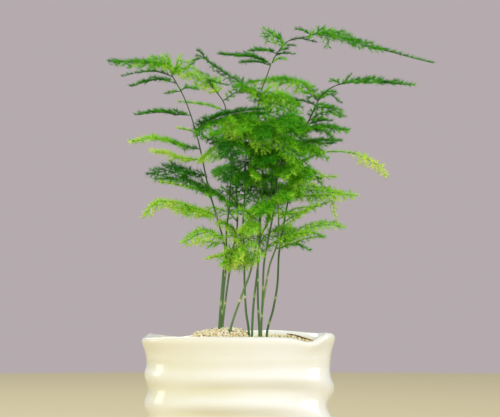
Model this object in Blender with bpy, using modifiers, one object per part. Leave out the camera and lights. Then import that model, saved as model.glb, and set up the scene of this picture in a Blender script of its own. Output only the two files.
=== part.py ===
# Potted asparagus fern: a rippled square ceramic pot filled with soil under a gravel top,
# and ten leafy stems, each a wiry cane with its ribs, twigs and three-sided needles.
# Dimensions below are in millimetres and become metres as each mesh is made. +Z is up,
# +X to the right and +Y away, seen from the front. The origin is the centre of the pot's underside.

import math
import random

import bmesh
import bpy
import numpy as np
from mathutils import Matrix, Vector

MM = 0.001
SEED = 12

# Pot
POT_HEIGHT = 110.0
BODY_HALF_WIDTH = 60.1
WALL = 5.4
FLOOR_THICKNESS = 8.0
INNER_ROUNDING = 4.0
FOOT_BEVEL = 2.5
SQUARENESS = 8.0
ROUND_STEPS = 32
RIPPLE_PITCH = 17.2
RIPPLE_HEIGHT = 1.35
RIPPLE_FIRST_CREST = 30.5
RIPPLE_WANDER = (1.85, 5.5, -2.0)
RIPPLE_SWELL = 0.4
RIPPLE_FADE = 9.0
RIPPLE_STRETCH = 0.4
RIPPLE_ROWS = 22

# The lip's section, from the inside over the top: how far out from the wall's inner face and under the rim
LIP_SECTION = (
    (0, 14), (1.0, 4), (2.8, 0.8), (4.8, 0), (6.6, 0.7),
    (7.5, 2.4), (7.3, 4.6), (6.4, 8), (5.6, 12), (WALL, 15),
)
LIP_DEPTH = 15.0
RIM_DEPTH = 14.0
CORNER_FLARE = 2.5

# Dips of the rim: the angle round the pot and how wide, in radians, and how deep, negative where it rises
RIM_DIPS = (
    (-1.05, 0.15, 3.1), (-0.78, 0.2, -2.8), (-0.45, 0.25, -1.6), (-1.7, 0.5, -0.8),
    (2.0, 0.27, 3.4), (2.45, 0.3, 1.4), (1.45, 0.3, -1.0), (0.88, 0.25, 1.0),
)

# Filling
TOUCH_GAP = 0.35
SOIL_TOP = 98.0
GRAVEL_EDGE = 104.6
# Heaps of the gravel: the middle, the radius, how steep the edge is, and the height
GRAVEL_HEAPS = ((-12, 2, 21, 6, 7.4), (-5, 2, 14, 4, 1.5), (27, 34, 21, 4, 4.0))
GRAVEL_GRAIN = 1.2
GRAVEL_RINGS = 10
HOLE_RADIUS = 1.6
HOLE_SIDES = 6
HOLE_REACH = 20.0

# Leafy stems
CANE_RADIUS = 0.95
CANE_TIP_RADIUS = 0.75
CANE_SPACING = 15.0
CANE_SIDES = 6
RIB_RADIUS = 0.5
RIB_TIP_RADIUS = 0.42
RIB_SPACING = 18.0
RIB_SIDES = 4
CURVE_SAMPLES = 24
RIB_FACES = (90, 0, 270, 180)
TWIG_RADIUS = 0.28
TWIG_TIP_RADIUS = 0.24
TWIG_ANGLE = 52.0
TWIG_STEP = 11.5
TWIG_FACES = (30, 270, 150)
NARROW_PLUME = 3.5
NEEDLE_LENGTH = 3.6
NEEDLE_RADIUS = 0.14
NEEDLE_ANGLE = 55.0
NEEDLE_STEP = 10.0
TWIG_NEEDLE_STEP = 4.5
ROOT_OFFSET = 0.05
CLEARANCE = 0.35

# Each stem: the way its cane goes, and its fronds, each a half width with the points its rib runs through,
# the first of them on the stem. The first frond carries the cane on from its end.
STEMS = {
    "leafy_stem_01": {
        "cane": [(-13, -4, 84), (-13, -4, 111), (-10, -5, 153), (-9, -6, 168), (-14, -6, 187),
                 (-20, -6, 208), (-27, -7, 240), (-35, -8, 265), (-44, -9, 282)],
        "fronds": [
            (13, [(-44, -9, 282), (-52, -9, 288), (-68, -10, 291), (-84, -12, 291)]),
            (8, [(-44, -9, 283), (-42, -18, 291), (-38, -26, 294)]),
            (6, [(-46, -9, 285), (-59, -18, 286), (-74, -24, 284)]),
            (7, [(-41, -8, 277), (-54, -1, 280), (-72, 5, 276)]),
            (4, [(-38, -8, 272), (-48, -12, 270)]),
            (6, [(-38, -8, 272), (-32, -15, 274), (-25, -19, 272)]),
            (10, [(-32, -8, 256), (-49, -15, 258), (-69, -21, 257)]),
            (3, [(-28, -7, 245), (-41, -13, 247)]),
            (17, [(-28, -7, 246), (-18, -20, 253), (1, -27, 258), (17, -31, 259)]),
            (10, [(-26, -7, 233), (-39, -13, 236), (-54, -18, 240), (-71, -23, 237)]),
            (9, [(-25, -7, 226), (-39, -2, 228), (-49, 4, 232), (-59, 8, 233)]),
            (10, [(-25, -7, 226), (-20, -19, 229), (-12, -33, 226)]),
            (10, [(-22, -6, 216), (-33, -13, 218), (-45, -20, 220), (-58, -26, 217)]),
            (11, [(-15, -6, 189), (-26, -15, 193), (-40, -22, 197), (-53, -28, 198), (-61, -31, 189)]),
            (8, [(-9, -6, 175), (-17, -15, 178), (-26, -21, 177), (-38, -26, 171)]),
            (3, [(-9, -6, 163), (-20, -12, 161)]),
        ],
    },
    "leafy_stem_02": {
        "cane": [(-12, 2, 84), (-12, 2, 111), (-10, 1, 138), (-8, 0, 160), (-8, 0, 178), (-6, 1, 198),
                 (-5, 1, 226), (-8, 0, 257), (-10, 0, 265), (-14, 0, 271)],
        "fronds": [
            (13, [(-14, 0, 271), (-21, -2, 276), (-34, -5, 282)]),
            (10, [(-10, 0, 265), (-3, 6, 271), (3, 14, 276), (-3, 20, 282), (-16, 20, 289), (-26, 18, 294),
                  (-36, 15, 288)]),
            (4, [(-8, 0, 259), (-22, 8, 264), (-40, 11, 266)]),
            (12, [(-6, 1, 238), (-10, 26, 246), (-16, 54, 248)]),
            (13, [(-6, 1, 198), (-12, -9, 202), (-20, -14, 206), (-35, -18, 212), (-54, -21, 213)]),
        ],
    },
    "leafy_stem_03": {
        "cane": [(-11, 8, 84), (-11, 8, 111), (-8, 8, 138), (-6, 8, 152), (-4, 8, 166), (-1, 9, 180),
                 (-1, 9, 200), (-3, 10, 223)],
        "fronds": [
            (9, [(-3, 10, 223), (-7, 10, 235), (-14, 9, 239), (-24, 8, 242)]),
            (10, [(-4, 8, 166), (-2, -14, 167), (2, -30, 160), (1, -43, 150)]),
            (12, [(-2, 10, 214), (-8, 30, 221), (-14, 55, 223)]),
            (8, [(-1, 9, 190), (-2, 28, 197), (-4, 47, 198)]),
        ],
    },
    "leafy_stem_04": {
        "cane": [(-6, -8, 84), (-6, -8, 110), (1, -8, 133), (8, -8, 152), (12, -8, 171), (14, -9, 185),
                 (12, -9, 206), (11, -10, 224)],
        "fronds": [
            (16, [(11, -10, 224), (6, -20, 235), (-2, -40, 235), (-8, -62, 226)]),
            (14, [(12, -9, 219), (17, -25, 229), (20, -51, 223)]),
            (7, [(12, -9, 207), (11, -23, 217), (10, -39, 213)]),
            (8, [(12, -9, 212), (20, -19, 215), (28, -25, 214)]),
            (11, [(13, -9, 190), (16, -25, 196), (17, -47, 190)]),
        ],
    },
    "leafy_stem_05": {
        "cane": [(7, 0, 84), (7, 0, 110), (5, 0, 126), (4, 0, 146), (4, 0, 163), (3, 1, 183), (4, 3, 200),
                 (5, 4, 226), (5, 3, 239)],
        "fronds": [
            (16, [(5, 3, 239), (3, -6, 248), (2, -24, 251), (4, -48, 243)]),
            (9, [(3, 1, 177), (7, -17, 183), (9, -39, 177)]),
            (12, [(4, 4, 209), (3, 31, 218), (1, 59, 216)]),
        ],
    },
    "leafy_stem_06": {
        "cane": [(9, -5, 84), (9, -5, 110), (10, -4, 130), (12, -4, 147), (14, -3, 166), (15, -2, 176),
                 (20, -2, 186), (22, -2, 206), (22, -1, 226), (19, -4, 239)],
        "fronds": [
            (15, [(19, -4, 239), (15, -15, 246), (14, -36, 247), (17, -57, 238)]),
            (13, [(22, -1, 220), (20, -17, 231), (23, -41, 227)]),
            (10, [(22, -2, 196), (22, 24, 206), (20, 50, 204)]),
        ],
    },
    "leafy_stem_07": {
        "cane": [(14, 3, 84), (14, 3, 110), (13, 3, 133), (13, 5, 158), (14, 6, 173), (15, 7, 190),
                 (16, 8, 206), (16, 9, 226), (14, 9, 246), (13, 9, 260), (15, 9, 272), (19, 8, 283),
                 (22, 8, 291), (27, 8, 300), (34, 8, 307), (44, 8, 309)],
        "fronds": [
            (11, [(44, 8, 309), (58, 6, 311), (78, 4, 306), (101, 2, 299), (130, 0, 291)]),
            (4, [(41, 8, 309), (42, 3, 313), (39, 0, 316)]),
            (3, [(34, 8, 307), (42, 16, 309), (52, 20, 307)]),
            (4, [(56, 6, 311), (60, 0, 307), (60, -2, 302)]),
            (9, [(30, 8, 304), (26, 2, 306), (17, -4, 308)]),
            (3, [(30, 8, 304), (38, 14, 304)]),
            (7, [(26, 8, 298), (18, 4, 300), (8, 0, 299)]),
            (4, [(27, 8, 300), (33, 14, 302)]),
            (3, [(25, 8, 297), (31, 3, 298), (37, 0, 297)]),
            (9, [(22, 8, 291), (11, 4, 295), (1, 2, 296), (-12, 0, 297)]),
            (6, [(22, 8, 290), (13, 14, 293), (1, 20, 293)]),
            (4, [(22, 8, 292), (27, 12, 295), (32, 16, 295)]),
            (16, [(14, 9, 269), (21, 2, 269), (31, -6, 266), (39, -12, 261)]),
            (8, [(14, 9, 269), (8, 2, 272), (3, -3, 273)]),
            (14, [(14, 9, 240), (10, 30, 248), (4, 62, 252)]),
            (12, [(16, 8, 206), (17, 30, 215), (18, 58, 217)]),
        ],
    },
    "leafy_stem_08": {
        "cane": [(15, 9, 84), (15, 9, 110), (16, 9, 127), (18, 9, 140), (21, 10, 156), (26, 12, 171),
                 (27, 13, 188), (26, 14, 206), (26, 15, 222), (28, 22, 236)],
        "fronds": [
            (14, [(28, 22, 236), (31, 38, 243), (34, 62, 242)]),
            (12, [(26, 14, 204), (33, 32, 209), (40, 57, 204)]),
            (9, [(26, 12, 172), (32, 28, 180), (36, 47, 182)]),
            (4, [(27, 13, 187), (38, 20, 194), (54, 24, 196)]),
        ],
    },
    "leafy_stem_09": {
        "cane": [(15, -4, 84), (15, -4, 110), (16, -4, 133), (17, -5, 157), (20, -6, 174), (23, -8, 190),
                 (25, -9, 206), (25, -9, 226), (27, -11, 240)],
        "fronds": [
            (15, [(27, -11, 240), (29, -21, 250), (30, -39, 252), (32, -59, 244)]),
            (13, [(25, -9, 212), (31, -23, 221), (34, -47, 215)]),
            (11, [(25, -9, 198), (30, -24, 204), (32, -43, 199)]),
        ],
    },
    "leafy_stem_10": {
        "cane": [(19, 5, 84), (19, 5, 110), (23, 4, 126), (26, 4, 143), (27, 3, 163), (29, 2, 176),
                 (32, 2, 193), (35, 2, 210), (39, 2, 230), (44, 2, 246), (50, 2, 259), (54, 2, 267),
                 (61, 1, 274), (67, 0, 277)],
        "fronds": [
            (11, [(67, 0, 277), (76, -2, 278), (95, -4, 278), (116, -6, 276)]),
            (10, [(54, 2, 267), (49, 6, 272), (44, 10, 277), (37, 14, 281), (24, 18, 282), (8, 21, 280)]),
            (5, [(53, 2, 265), (57, -6, 271), (65, -11, 271)]),
            (5, [(54, 2, 267), (61, 9, 271), (68, 14, 266)]),
            (8, [(51, 2, 262), (62, -6, 260), (69, -10, 255)]),
            (3, [(53, 2, 266), (48, -4, 270), (42, -7, 271)]),
            (3, [(52, 2, 263), (45, -5, 265), (38, -9, 266)]),
            (5, [(47, 2, 253), (53, 6, 254), (59, 8, 254)]),
            (4, [(46, 2, 250), (54, -7, 252), (62, -11, 252)]),
            (10, [(45, 2, 249), (58, -3, 248), (72, -7, 246)]),
            (8, [(41, 2, 239), (54, 10, 240), (69, 14, 240)]),
            (6, [(38, 2, 224), (45, -5, 227), (60, -12, 232), (72, -16, 231), (89, -22, 227),
                 (98, -25, 217)]),
            (12, [(33, 2, 200), (41, -6, 206), (58, -12, 205), (76, -17, 202)]),
            (4, [(37, 2, 222), (48, 8, 220), (58, 14, 208)]),
            (3, [(63, -13, 204), (63, -15, 193), (65, -16, 183)]),
            (9, [(28, 3, 170), (34, -5, 174), (48, -12, 181), (61, -17, 183), (69, -20, 181)]),
            (6, [(28, 2, 172), (40, 11, 177), (50, 16, 178), (57, 20, 175)]),
            (5, [(28, 3, 168), (38, -2, 170), (48, -5, 166)]),
            (13, [(42, 2, 240), (38, -14, 250), (34, -41, 243)]),
            (11, [(36, 2, 215), (42, -15, 218), (44, -37, 212)]),
            (13, [(39, 2, 231), (46, 27, 237), (52, 55, 237)]),
        ],
    },
}


def make_material(name, color, roughness):
    material = bpy.data.materials.new(name)
    material.use_nodes = True
    shader = material.node_tree.nodes["Principled BSDF"]
    shader.inputs["Base Color"].default_value = (*color, 1.0)
    shader.inputs["Roughness"].default_value = roughness
    shader.inputs["Metallic"].default_value = 0.0
    return material


def add_object(name, mesh, collection, material=None):
    obj = bpy.data.objects.new(name, mesh)
    collection.objects.link(obj)
    if material:
        mesh.materials.append(material)
    return obj


def apply_modifiers(obj):
    """Bake an object's modifiers into its mesh."""
    depsgraph = bpy.context.evaluated_depsgraph_get()
    mesh = bpy.data.meshes.new_from_object(obj.evaluated_get(depsgraph))
    obj.modifiers.clear()
    obj.data = mesh


def turned_solid(name, profile, collection, material):
    """Spin a profile of (radius, height) points about Z, closed at the axis at both ends."""
    mesh = bpy.data.meshes.new(name)
    points = [(radius * MM, 0.0, height * MM) for radius, height in profile]
    mesh.from_pydata(points, [(i, i + 1) for i in range(len(points) - 1)], [])
    obj = add_object(name, mesh, collection, material)
    screw = obj.modifiers.new("Spin", "SCREW")
    screw.steps = ROUND_STEPS
    screw.render_steps = ROUND_STEPS
    screw.use_merge_vertices = True
    screw.merge_threshold = 0.00001
    apply_modifiers(obj)
    return obj


def square_direction(angle):
    """A direction on the square outline. Even turns of the angle bunch up at its round corners."""
    c, s = math.cos(angle), math.sin(angle)
    x = math.copysign(math.sqrt(abs(c)), c)
    y = math.copysign(math.sqrt(abs(s)), s)
    length = math.hypot(x, y)
    return x / length, y / length


def square_point(radius, angle):
    """Where a turned point at this radius goes on a square with round corners of that half width."""
    x, y = square_direction(angle)
    reach = radius / (abs(x) ** SQUARENESS + abs(y) ** SQUARENESS) ** (1 / SQUARENESS)
    return x * reach, y * reach


def ripple(depth, angle):
    """How far the wall stands out at this depth under the rim: hand-pinched ridges that wander."""
    terms = (math.cos(angle), math.sin(angle), math.sin(2 * angle))
    shift = sum(amount * term for amount, term in zip(RIPPLE_WANDER, terms))
    swell = 1.0 + RIPPLE_SWELL * math.cos(angle)
    rightward = (0.5 + 0.5 * math.cos(angle)) ** 2
    pitch = RIPPLE_PITCH * (1.0 + RIPPLE_STRETCH * rightward)
    crest = math.cos(2 * math.pi * (depth - RIPPLE_FIRST_CREST - shift) / pitch)
    under_lip = min(1.0, max(0.0, (depth - LIP_DEPTH + 2.0) / (RIPPLE_FADE * (1.0 + rightward))))
    above_foot = min(1.0, max(0.0, (POT_HEIGHT - depth) / RIPPLE_FADE))
    return RIPPLE_HEIGHT * swell * crest * under_lip * above_foot


def rim_wave(angle):
    """How far the rim dips, most near the right end of its front edge."""
    drop = 0.0
    for place, wide, deep in RIM_DIPS:
        drop -= deep * math.exp(-((math.remainder(angle - place, 2 * math.pi) / wide) ** 2))
    return drop


def make_pot(collection, material):
    inner = BODY_HALF_WIDTH - WALL
    profile = [(0.0, FLOOR_THICKNESS), (inner - INNER_ROUNDING, FLOOR_THICKNESS)]
    profile.append((inner, FLOOR_THICKNESS + INNER_ROUNDING))
    profile += [(inner + out, POT_HEIGHT - depth) for out, depth in LIP_SECTION]
    rows = np.linspace(LIP_DEPTH, POT_HEIGHT - FOOT_BEVEL, RIPPLE_ROWS + 1)[1:]
    profile += [(BODY_HALF_WIDTH, POT_HEIGHT - depth) for depth in rows]
    profile += [(BODY_HALF_WIDTH - FOOT_BEVEL, 0.0), (0.0, 0.0)]

    pot = turned_solid("pot", profile, collection, material)
    for vertex in pot.data.vertices:
        x, y, z = (value / MM for value in vertex.co)
        radius = math.hypot(x, y)
        if radius < 0.01:
            continue
        angle = math.atan2(y, x)
        if radius > BODY_HALF_WIDTH - FOOT_BEVEL + 0.01:
            radius += ripple(POT_HEIGHT - z, angle)
        near_rim = max(0.0, (z - POT_HEIGHT + RIM_DEPTH) / RIM_DEPTH)
        radius += CORNER_FLARE * math.sin(2 * angle) ** 4 * near_rim**2
        x, y = square_point(radius, angle)
        vertex.co = Vector((x, y, z + rim_wave(angle) * near_rim)) * MM
    pot.data.shade_smooth()
    return pot


def mound(x, y):
    """Height of the gravel's surface, which is heaped round the stems and at the back right."""
    height = GRAVEL_EDGE
    for middle_x, middle_y, radius, steepness, top in GRAVEL_HEAPS:
        away = math.hypot(x - middle_x, y - middle_y) / radius
        height += top * math.exp(-(away**steepness))
    return height


def make_filling(name, profile, is_gravel, collection, material):
    """Soil or gravel: a block that fits the pot's inside, with a hole for each cane."""
    block = turned_solid(name, profile, collection, material)
    draw = random.Random(SEED)
    for vertex in block.data.vertices:
        x, y, z = (value / MM for value in vertex.co)
        radius = math.hypot(x, y)
        if radius > 0.01:
            x, y = square_point(radius, math.atan2(y, x))
        if is_gravel and z > SOIL_TOP + 2 * TOUCH_GAP:
            grain = draw.uniform(-GRAVEL_GRAIN, GRAVEL_GRAIN) if radius < profile[1][0] - 1.0 else 0.0
            z = mound(x, y) + grain
        vertex.co = Vector((x, y, z)) * MM
    for stem in STEMS.values():
        x, y, foot = stem["cane"][0]
        bottom = foot - TOUCH_GAP
        height = POT_HEIGHT + HOLE_REACH - bottom
        bore = HOLE_RADIUS * MM
        bm = bmesh.new()
        bmesh.ops.create_cone(
            bm, cap_ends=True, segments=HOLE_SIDES, radius1=bore, radius2=bore, depth=height * MM
        )
        mesh = bpy.data.meshes.new("stem_hole")
        bm.to_mesh(mesh)
        bm.free()
        hole = add_object("stem_hole", mesh, bpy.data.collections["cutters"])
        hole.location = Vector((x, y, bottom + height / 2)) * MM
        hole.hide_render = True
        hole.display_type = "WIRE"
    cut = block.modifiers.new("Stem holes", "BOOLEAN")
    cut.operand_type = "COLLECTION"
    cut.collection = bpy.data.collections["cutters"]
    cut.operation = "DIFFERENCE"
    cut.solver = "EXACT"
    apply_modifiers(block)
    for hole in list(bpy.data.collections["cutters"].objects):
        bpy.data.objects.remove(hole)
    return block


def smooth_path(points, spacing):
    """Even samples of the Catmull-Rom curve through the points, about this far apart."""
    points = np.array(points, float)
    ends = [2 * points[0] - points[1], *points, 2 * points[-1] - points[-2]]
    dense = []
    for a, b, c, d in zip(ends, ends[1:], ends[2:], ends[3:]):
        for t in np.linspace(0, 1, CURVE_SAMPLES, endpoint=False):
            dense.append(0.5 * (2 * b + (c - a) * t + (2 * a - 5 * b + 4 * c - d) * t**2
                                + (3 * b - a - 3 * c + d) * t**3))
    dense = np.array(dense + [ends[-2]])
    along = np.concatenate([[0.0], np.cumsum(np.linalg.norm(np.diff(dense, axis=0), axis=1))])
    wanted = np.linspace(0, along[-1], max(2, round(along[-1] / spacing)) + 1)
    return np.stack([np.interp(wanted, along, dense[:, axis]) for axis in range(3)], 1)


def segment_gap(p, q, starts, ends):
    """Shortest distance from the segment pq to each of the segments from starts to ends."""
    u, v, w = q - p, ends - starts, p - starts
    a, b, c = u @ u, v @ u, np.einsum("ij,ij->i", v, v)
    d, e = w @ u, np.einsum("ij,ij->i", v, w)
    s = np.clip((b * e - c * d) / np.maximum(a * c - b * b, 1e-9), 0, 1)
    t = np.clip((b * s + e) / np.maximum(c, 1e-9), 0, 1)
    s = np.clip((b * t - d) / a, 0, 1)
    return np.linalg.norm(w + s[:, None] * u - t[:, None] * v, axis=1)


class Space:
    """The room that each stem's pieces already fill, so that nothing crosses another stem."""

    def __init__(self):
        self.starts = np.empty((0, 3))
        self.ends = np.empty((0, 3))
        self.radii = np.empty(0)
        self.owners = np.empty(0, int)

    def is_clear(self, owner, p, q, radius):
        others = self.owners != owner
        if not others.any():
            return True
        gaps = segment_gap(p, q, self.starts[others], self.ends[others])
        return bool((gaps > self.radii[others] + radius + CLEARANCE).all())

    def take(self, owner, p, q, radius):
        self.starts = np.vstack([self.starts, p])
        self.ends = np.vstack([self.ends, q])
        self.radii = np.append(self.radii, radius)
        self.owners = np.append(self.owners, owner)


def tube(name, path, start_radius, end_radius, sides, collection):
    """A tapering tube along a path, as a closed mesh. Four sides face left, right, up and down."""
    curve = bpy.data.curves.new(name, "CURVE")
    curve.dimensions = "3D"
    curve.bevel_depth = MM
    curve.bevel_resolution = (sides - 4) // 2
    curve.use_fill_caps = True
    is_square = sides == 4
    curve.twist_mode = "Z_UP" if is_square else "MINIMUM"
    spline = curve.splines.new("POLY")
    spline.points.add(len(path) - 1)
    for i, point in enumerate(path):
        spline.points[i].co = (*(point * MM), 1.0)
        spline.points[i].radius = start_radius + (end_radius - start_radius) * i / (len(path) - 1)
        spline.points[i].tilt = math.pi / 4 if is_square else 0.0
    guide = add_object(name, curve, collection)
    bpy.context.view_layer.update()
    depsgraph = bpy.context.evaluated_depsgraph_get()
    mesh = bpy.data.meshes.new_from_object(guide.evaluated_get(depsgraph))
    bpy.data.objects.remove(guide)
    bm = bmesh.new()
    bm.from_mesh(mesh)
    bmesh.ops.remove_doubles(bm, verts=bm.verts, dist=0.00001)
    bmesh.ops.recalc_face_normals(bm, faces=bm.faces)
    bm.to_mesh(mesh)
    bm.free()
    return add_object(name, mesh, collection)


def spike(name, root, tip, radius, tip_radius, collection):
    """A three-sided needle or twig with one edge on top and its root sunk into what it grows from."""
    direction = unit(tip - root)
    side = side_of(direction)
    up = np.cross(side, direction)
    bm = bmesh.new()
    depth = np.linalg.norm(tip - root)
    bmesh.ops.create_cone(bm, cap_ends=True, segments=3, radius1=radius, radius2=tip_radius, depth=depth)
    axes = Matrix((side, up, direction)).transposed().to_4x4()
    place = Matrix.Translation(Vector((root + tip) / 2)) @ axes
    bmesh.ops.transform(bm, matrix=Matrix.Scale(MM, 4) @ place, verts=bm.verts)
    mesh = bpy.data.meshes.new(name)
    bm.to_mesh(mesh)
    bm.free()
    return add_object(name, mesh, collection)


def unit(vector):
    return vector / np.linalg.norm(vector)


def side_of(direction):
    """The level direction square to this one, or +X for an upright one."""
    side = np.cross(direction, (0.0, 0.0, 1.0))
    return unit(side) if np.linalg.norm(side) > 0.05 else np.array((1.0, 0.0, 0.0))


def leaning(direction, outward, degrees):
    """A direction that leans this far from the first one towards the second."""
    turn = math.radians(degrees)
    return unit(direction * math.cos(turn) + outward * math.sin(turn))


class Path:
    """Points with the distance along them, to read places and directions from."""

    def __init__(self, points):
        self.points = points
        steps = np.linalg.norm(np.diff(points, axis=0), axis=1)
        self.along = np.concatenate([[0.0], np.cumsum(steps)])
        self.length = self.along[-1]

    def place(self, distance):
        return np.array([np.interp(distance, self.along, self.points[:, axis]) for axis in range(3)])

    def direction(self, distance):
        before = min(distance, self.length - 0.1)
        return unit(self.place(before + 0.1) - self.place(before))


def plume_outline(share):
    """A plume's width at this share of its rib, as a share of its widest: a taper after the root."""
    return min(1.0, 0.45 + share * 2.2) * (1.05 - share) ** 0.75


class LeafyStem:
    """One stem: its tubes and spikes gather in a collection, which one union then fuses."""

    def __init__(self, number, name, space):
        self.number = number
        self.name = name
        self.space = space
        self.parts = bpy.data.collections.new(name + "_parts")
        bpy.context.scene.collection.children.link(self.parts)
        self.draw = random.Random(SEED + number)
        self.turn = 0
        self.paths = []

    def run(self, path, start_radius, end_radius, sides):
        """A cane or rib, always made: its route in the table keeps it clear of the other stems."""
        tube("run", path, start_radius, end_radius, sides, self.parts)
        for p, q in zip(path, path[1:]):
            self.space.take(self.number, p, q, start_radius)
        self.paths.append(path)

    def root_near(self, point):
        """The nearest place on what the stem has so far."""
        nearest = None
        for path in self.paths:
            starts, steps = path[:-1], np.diff(path, axis=0)
            share = np.einsum("ij,ij->i", point - starts, steps) / np.einsum("ij,ij->i", steps, steps)
            places = starts + np.clip(share, 0, 1)[:, None] * steps
            best = places[np.argmin(np.linalg.norm(places - point, axis=1))]
            if nearest is None or np.linalg.norm(best - point) < np.linalg.norm(nearest - point):
                nearest = best
        return nearest

    def offshoot(self, root, direction, length, radius, tip_radius=0.0):
        """A twig or needle, left out where it would come too near another stem."""
        tip = root + direction * length
        if not self.space.is_clear(self.number, root, tip, radius):
            return None
        spike("offshoot", root, tip, radius, tip_radius, self.parts)
        self.space.take(self.number, root, tip, radius)
        return tip

    def needles(self, path, places, angles):
        """Needles at these distances along a path, each through the next of its faces."""
        for place in places:
            direction = path.direction(place)
            side = side_of(direction)
            up = np.cross(side, direction)
            angle = math.radians(angles[self.turn % len(angles)])
            self.turn += 1
            outward = side * math.cos(angle) + up * math.sin(angle)
            length = NEEDLE_LENGTH * self.draw.uniform(0.85, 1.1)
            root = path.place(place) + outward * ROOT_OFFSET
            self.offshoot(root, leaning(direction, outward, NEEDLE_ANGLE), length, NEEDLE_RADIUS)

    def plume(self, path, half_width):
        """Twigs left and right in turn, longest near the root, with needles all round."""
        rib = Path(path)
        twigs = max(2, round(rib.length / TWIG_STEP)) if half_width > NARROW_PLUME else 0
        for i in range(twigs):
            share = (i + 0.7) / twigs
            direction = rib.direction(share * rib.length)
            side = side_of(direction) * (-1) ** i
            root = rib.place(share * rib.length)
            length = half_width * plume_outline(share) / math.sin(math.radians(TWIG_ANGLE))
            heading = leaning(direction, side, TWIG_ANGLE)
            tip = self.offshoot(root, heading, length, TWIG_RADIUS, TWIG_TIP_RADIUS)
            if tip is not None:
                twig = Path(np.array([root, tip]))
                self.needles(twig, np.arange(0.92 * length, 0.25 * length, -TWIG_NEEDLE_STEP), TWIG_FACES)
        self.needles(rib, np.arange(NEEDLE_STEP * 0.6, rib.length, NEEDLE_STEP), RIB_FACES)

    def fuse(self, collection, material):
        """One union of everything in the collection."""
        pieces = list(self.parts.objects)
        body = pieces[0]
        body.name = self.name
        self.parts.objects.unlink(body)
        collection.objects.link(body)
        join = body.modifiers.new("Join", "BOOLEAN")
        join.operand_type = "COLLECTION"
        join.collection = self.parts
        join.operation = "UNION"
        join.solver = "EXACT"
        apply_modifiers(body)
        for piece in pieces[1:]:
            bpy.data.objects.remove(piece)
        bpy.data.collections.remove(self.parts)
        body.data.materials.clear()
        body.data.materials.append(material)
        return body


def make_stems(collection, material):
    space = Space()
    stems = []
    for number, (name, plan) in enumerate(STEMS.items()):
        stem = LeafyStem(number, name, space)
        stem.run(smooth_path(plan["cane"], CANE_SPACING), CANE_RADIUS, CANE_TIP_RADIUS, CANE_SIDES)
        for _, points in plan["fronds"]:
            start = stem.root_near(np.array(points[0], float))
            rib = smooth_path([tuple(start), *points[1:]], RIB_SPACING)
            stem.run(rib, RIB_RADIUS, RIB_TIP_RADIUS, RIB_SIDES)
        stems.append(stem)
    for stem, plan in zip(stems, STEMS.values()):
        for path, (half_width, _) in zip(stem.paths[1:], plan["fronds"]):
            stem.plume(path, half_width)
    return [stem.fuse(collection, material) for stem in stems]


def main():
    for obj in list(bpy.data.objects):
        bpy.data.objects.remove(obj)
    scene = bpy.context.scene
    plant = bpy.data.collections.new("potted_asparagus_fern")
    scene.collection.children.link(plant)
    cutters = bpy.data.collections.new("cutters")
    scene.collection.children.link(cutters)

    make_pot(plant, make_material("ivory_glaze", (0.86, 0.83, 0.72), 0.18))
    inner = BODY_HALF_WIDTH - WALL - TOUCH_GAP
    floor = FLOOR_THICKNESS + TOUCH_GAP
    soil_profile = [(0.0, SOIL_TOP), (inner, SOIL_TOP)]
    soil_profile += [(inner, floor + INNER_ROUNDING), (inner - INNER_ROUNDING, floor), (0.0, floor)]
    soil_brown = make_material("potting_soil", (0.10, 0.065, 0.04), 0.95)
    make_filling("soil", soil_profile, False, plant, soil_brown)
    bottom = SOIL_TOP + TOUCH_GAP
    rings = [(inner * ring / GRAVEL_RINGS, GRAVEL_EDGE) for ring in range(GRAVEL_RINGS + 1)]
    gravel_profile = [*rings, (inner, bottom), (0.0, bottom)]
    grit = make_material("cream_grit", (0.78, 0.70, 0.50), 0.85)
    make_filling("gravel_top", gravel_profile, True, plant, grit)
    make_stems(plant, make_material("fern_green", (0.09, 0.26, 0.03), 0.55))


main()
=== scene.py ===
import math

import bmesh
import bpy
import numpy as np
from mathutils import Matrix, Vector


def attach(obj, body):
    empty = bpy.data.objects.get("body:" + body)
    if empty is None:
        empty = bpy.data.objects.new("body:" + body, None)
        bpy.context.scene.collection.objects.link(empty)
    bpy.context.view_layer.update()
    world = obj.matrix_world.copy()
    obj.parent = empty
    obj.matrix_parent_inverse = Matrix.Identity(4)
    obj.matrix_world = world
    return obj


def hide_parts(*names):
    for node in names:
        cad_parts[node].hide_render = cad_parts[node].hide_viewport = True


# Potted asparagus fern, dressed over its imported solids. Lengths in the tables are millimetres: mm turns them
# into metres as each mesh is made. +Z is up, +X to the right and +Y away from the viewer.

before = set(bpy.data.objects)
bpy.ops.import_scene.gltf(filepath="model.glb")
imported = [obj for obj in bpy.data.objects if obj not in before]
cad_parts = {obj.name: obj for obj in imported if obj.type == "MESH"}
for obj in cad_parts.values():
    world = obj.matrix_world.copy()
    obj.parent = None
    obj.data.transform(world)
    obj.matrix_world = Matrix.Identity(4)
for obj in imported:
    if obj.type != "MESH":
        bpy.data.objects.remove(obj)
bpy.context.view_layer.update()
mm = 0.001
print("frame loaded:", len(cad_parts), "nodes")


# VIEW

view = {
    "size": (500, 417),          # the picture in pixels
    "pixel": 2 / 3,              # millimetres that a pixel covers at the stems
    "distance": 1500,            # from the pot's middle
    "eyeHeight": 164,
    "target": (7.7, 0, 194),     # what the picture's middle shows
    "sensor": 36.0,
}


def makeCamera():
    eye = Vector((0, -view["distance"], view["eyeHeight"])) * mm
    target = Vector(view["target"]) * mm
    data = bpy.data.cameras.new("camera")
    camera = bpy.data.objects.new("camera", data)
    bpy.context.scene.collection.objects.link(camera)
    camera.location = eye
    camera.rotation_euler = (target - eye).to_track_quat("-Z", "Y").to_euler()
    data.sensor_width = view["sensor"]
    data.lens = view["sensor"] * (target - eye).length / (view["size"][0] * view["pixel"] * mm)
    data.clip_start = 0.05
    data.clip_end = 20
    bpy.context.scene.camera = camera


makeCamera()
print("camera set")


# MATERIALS

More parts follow.
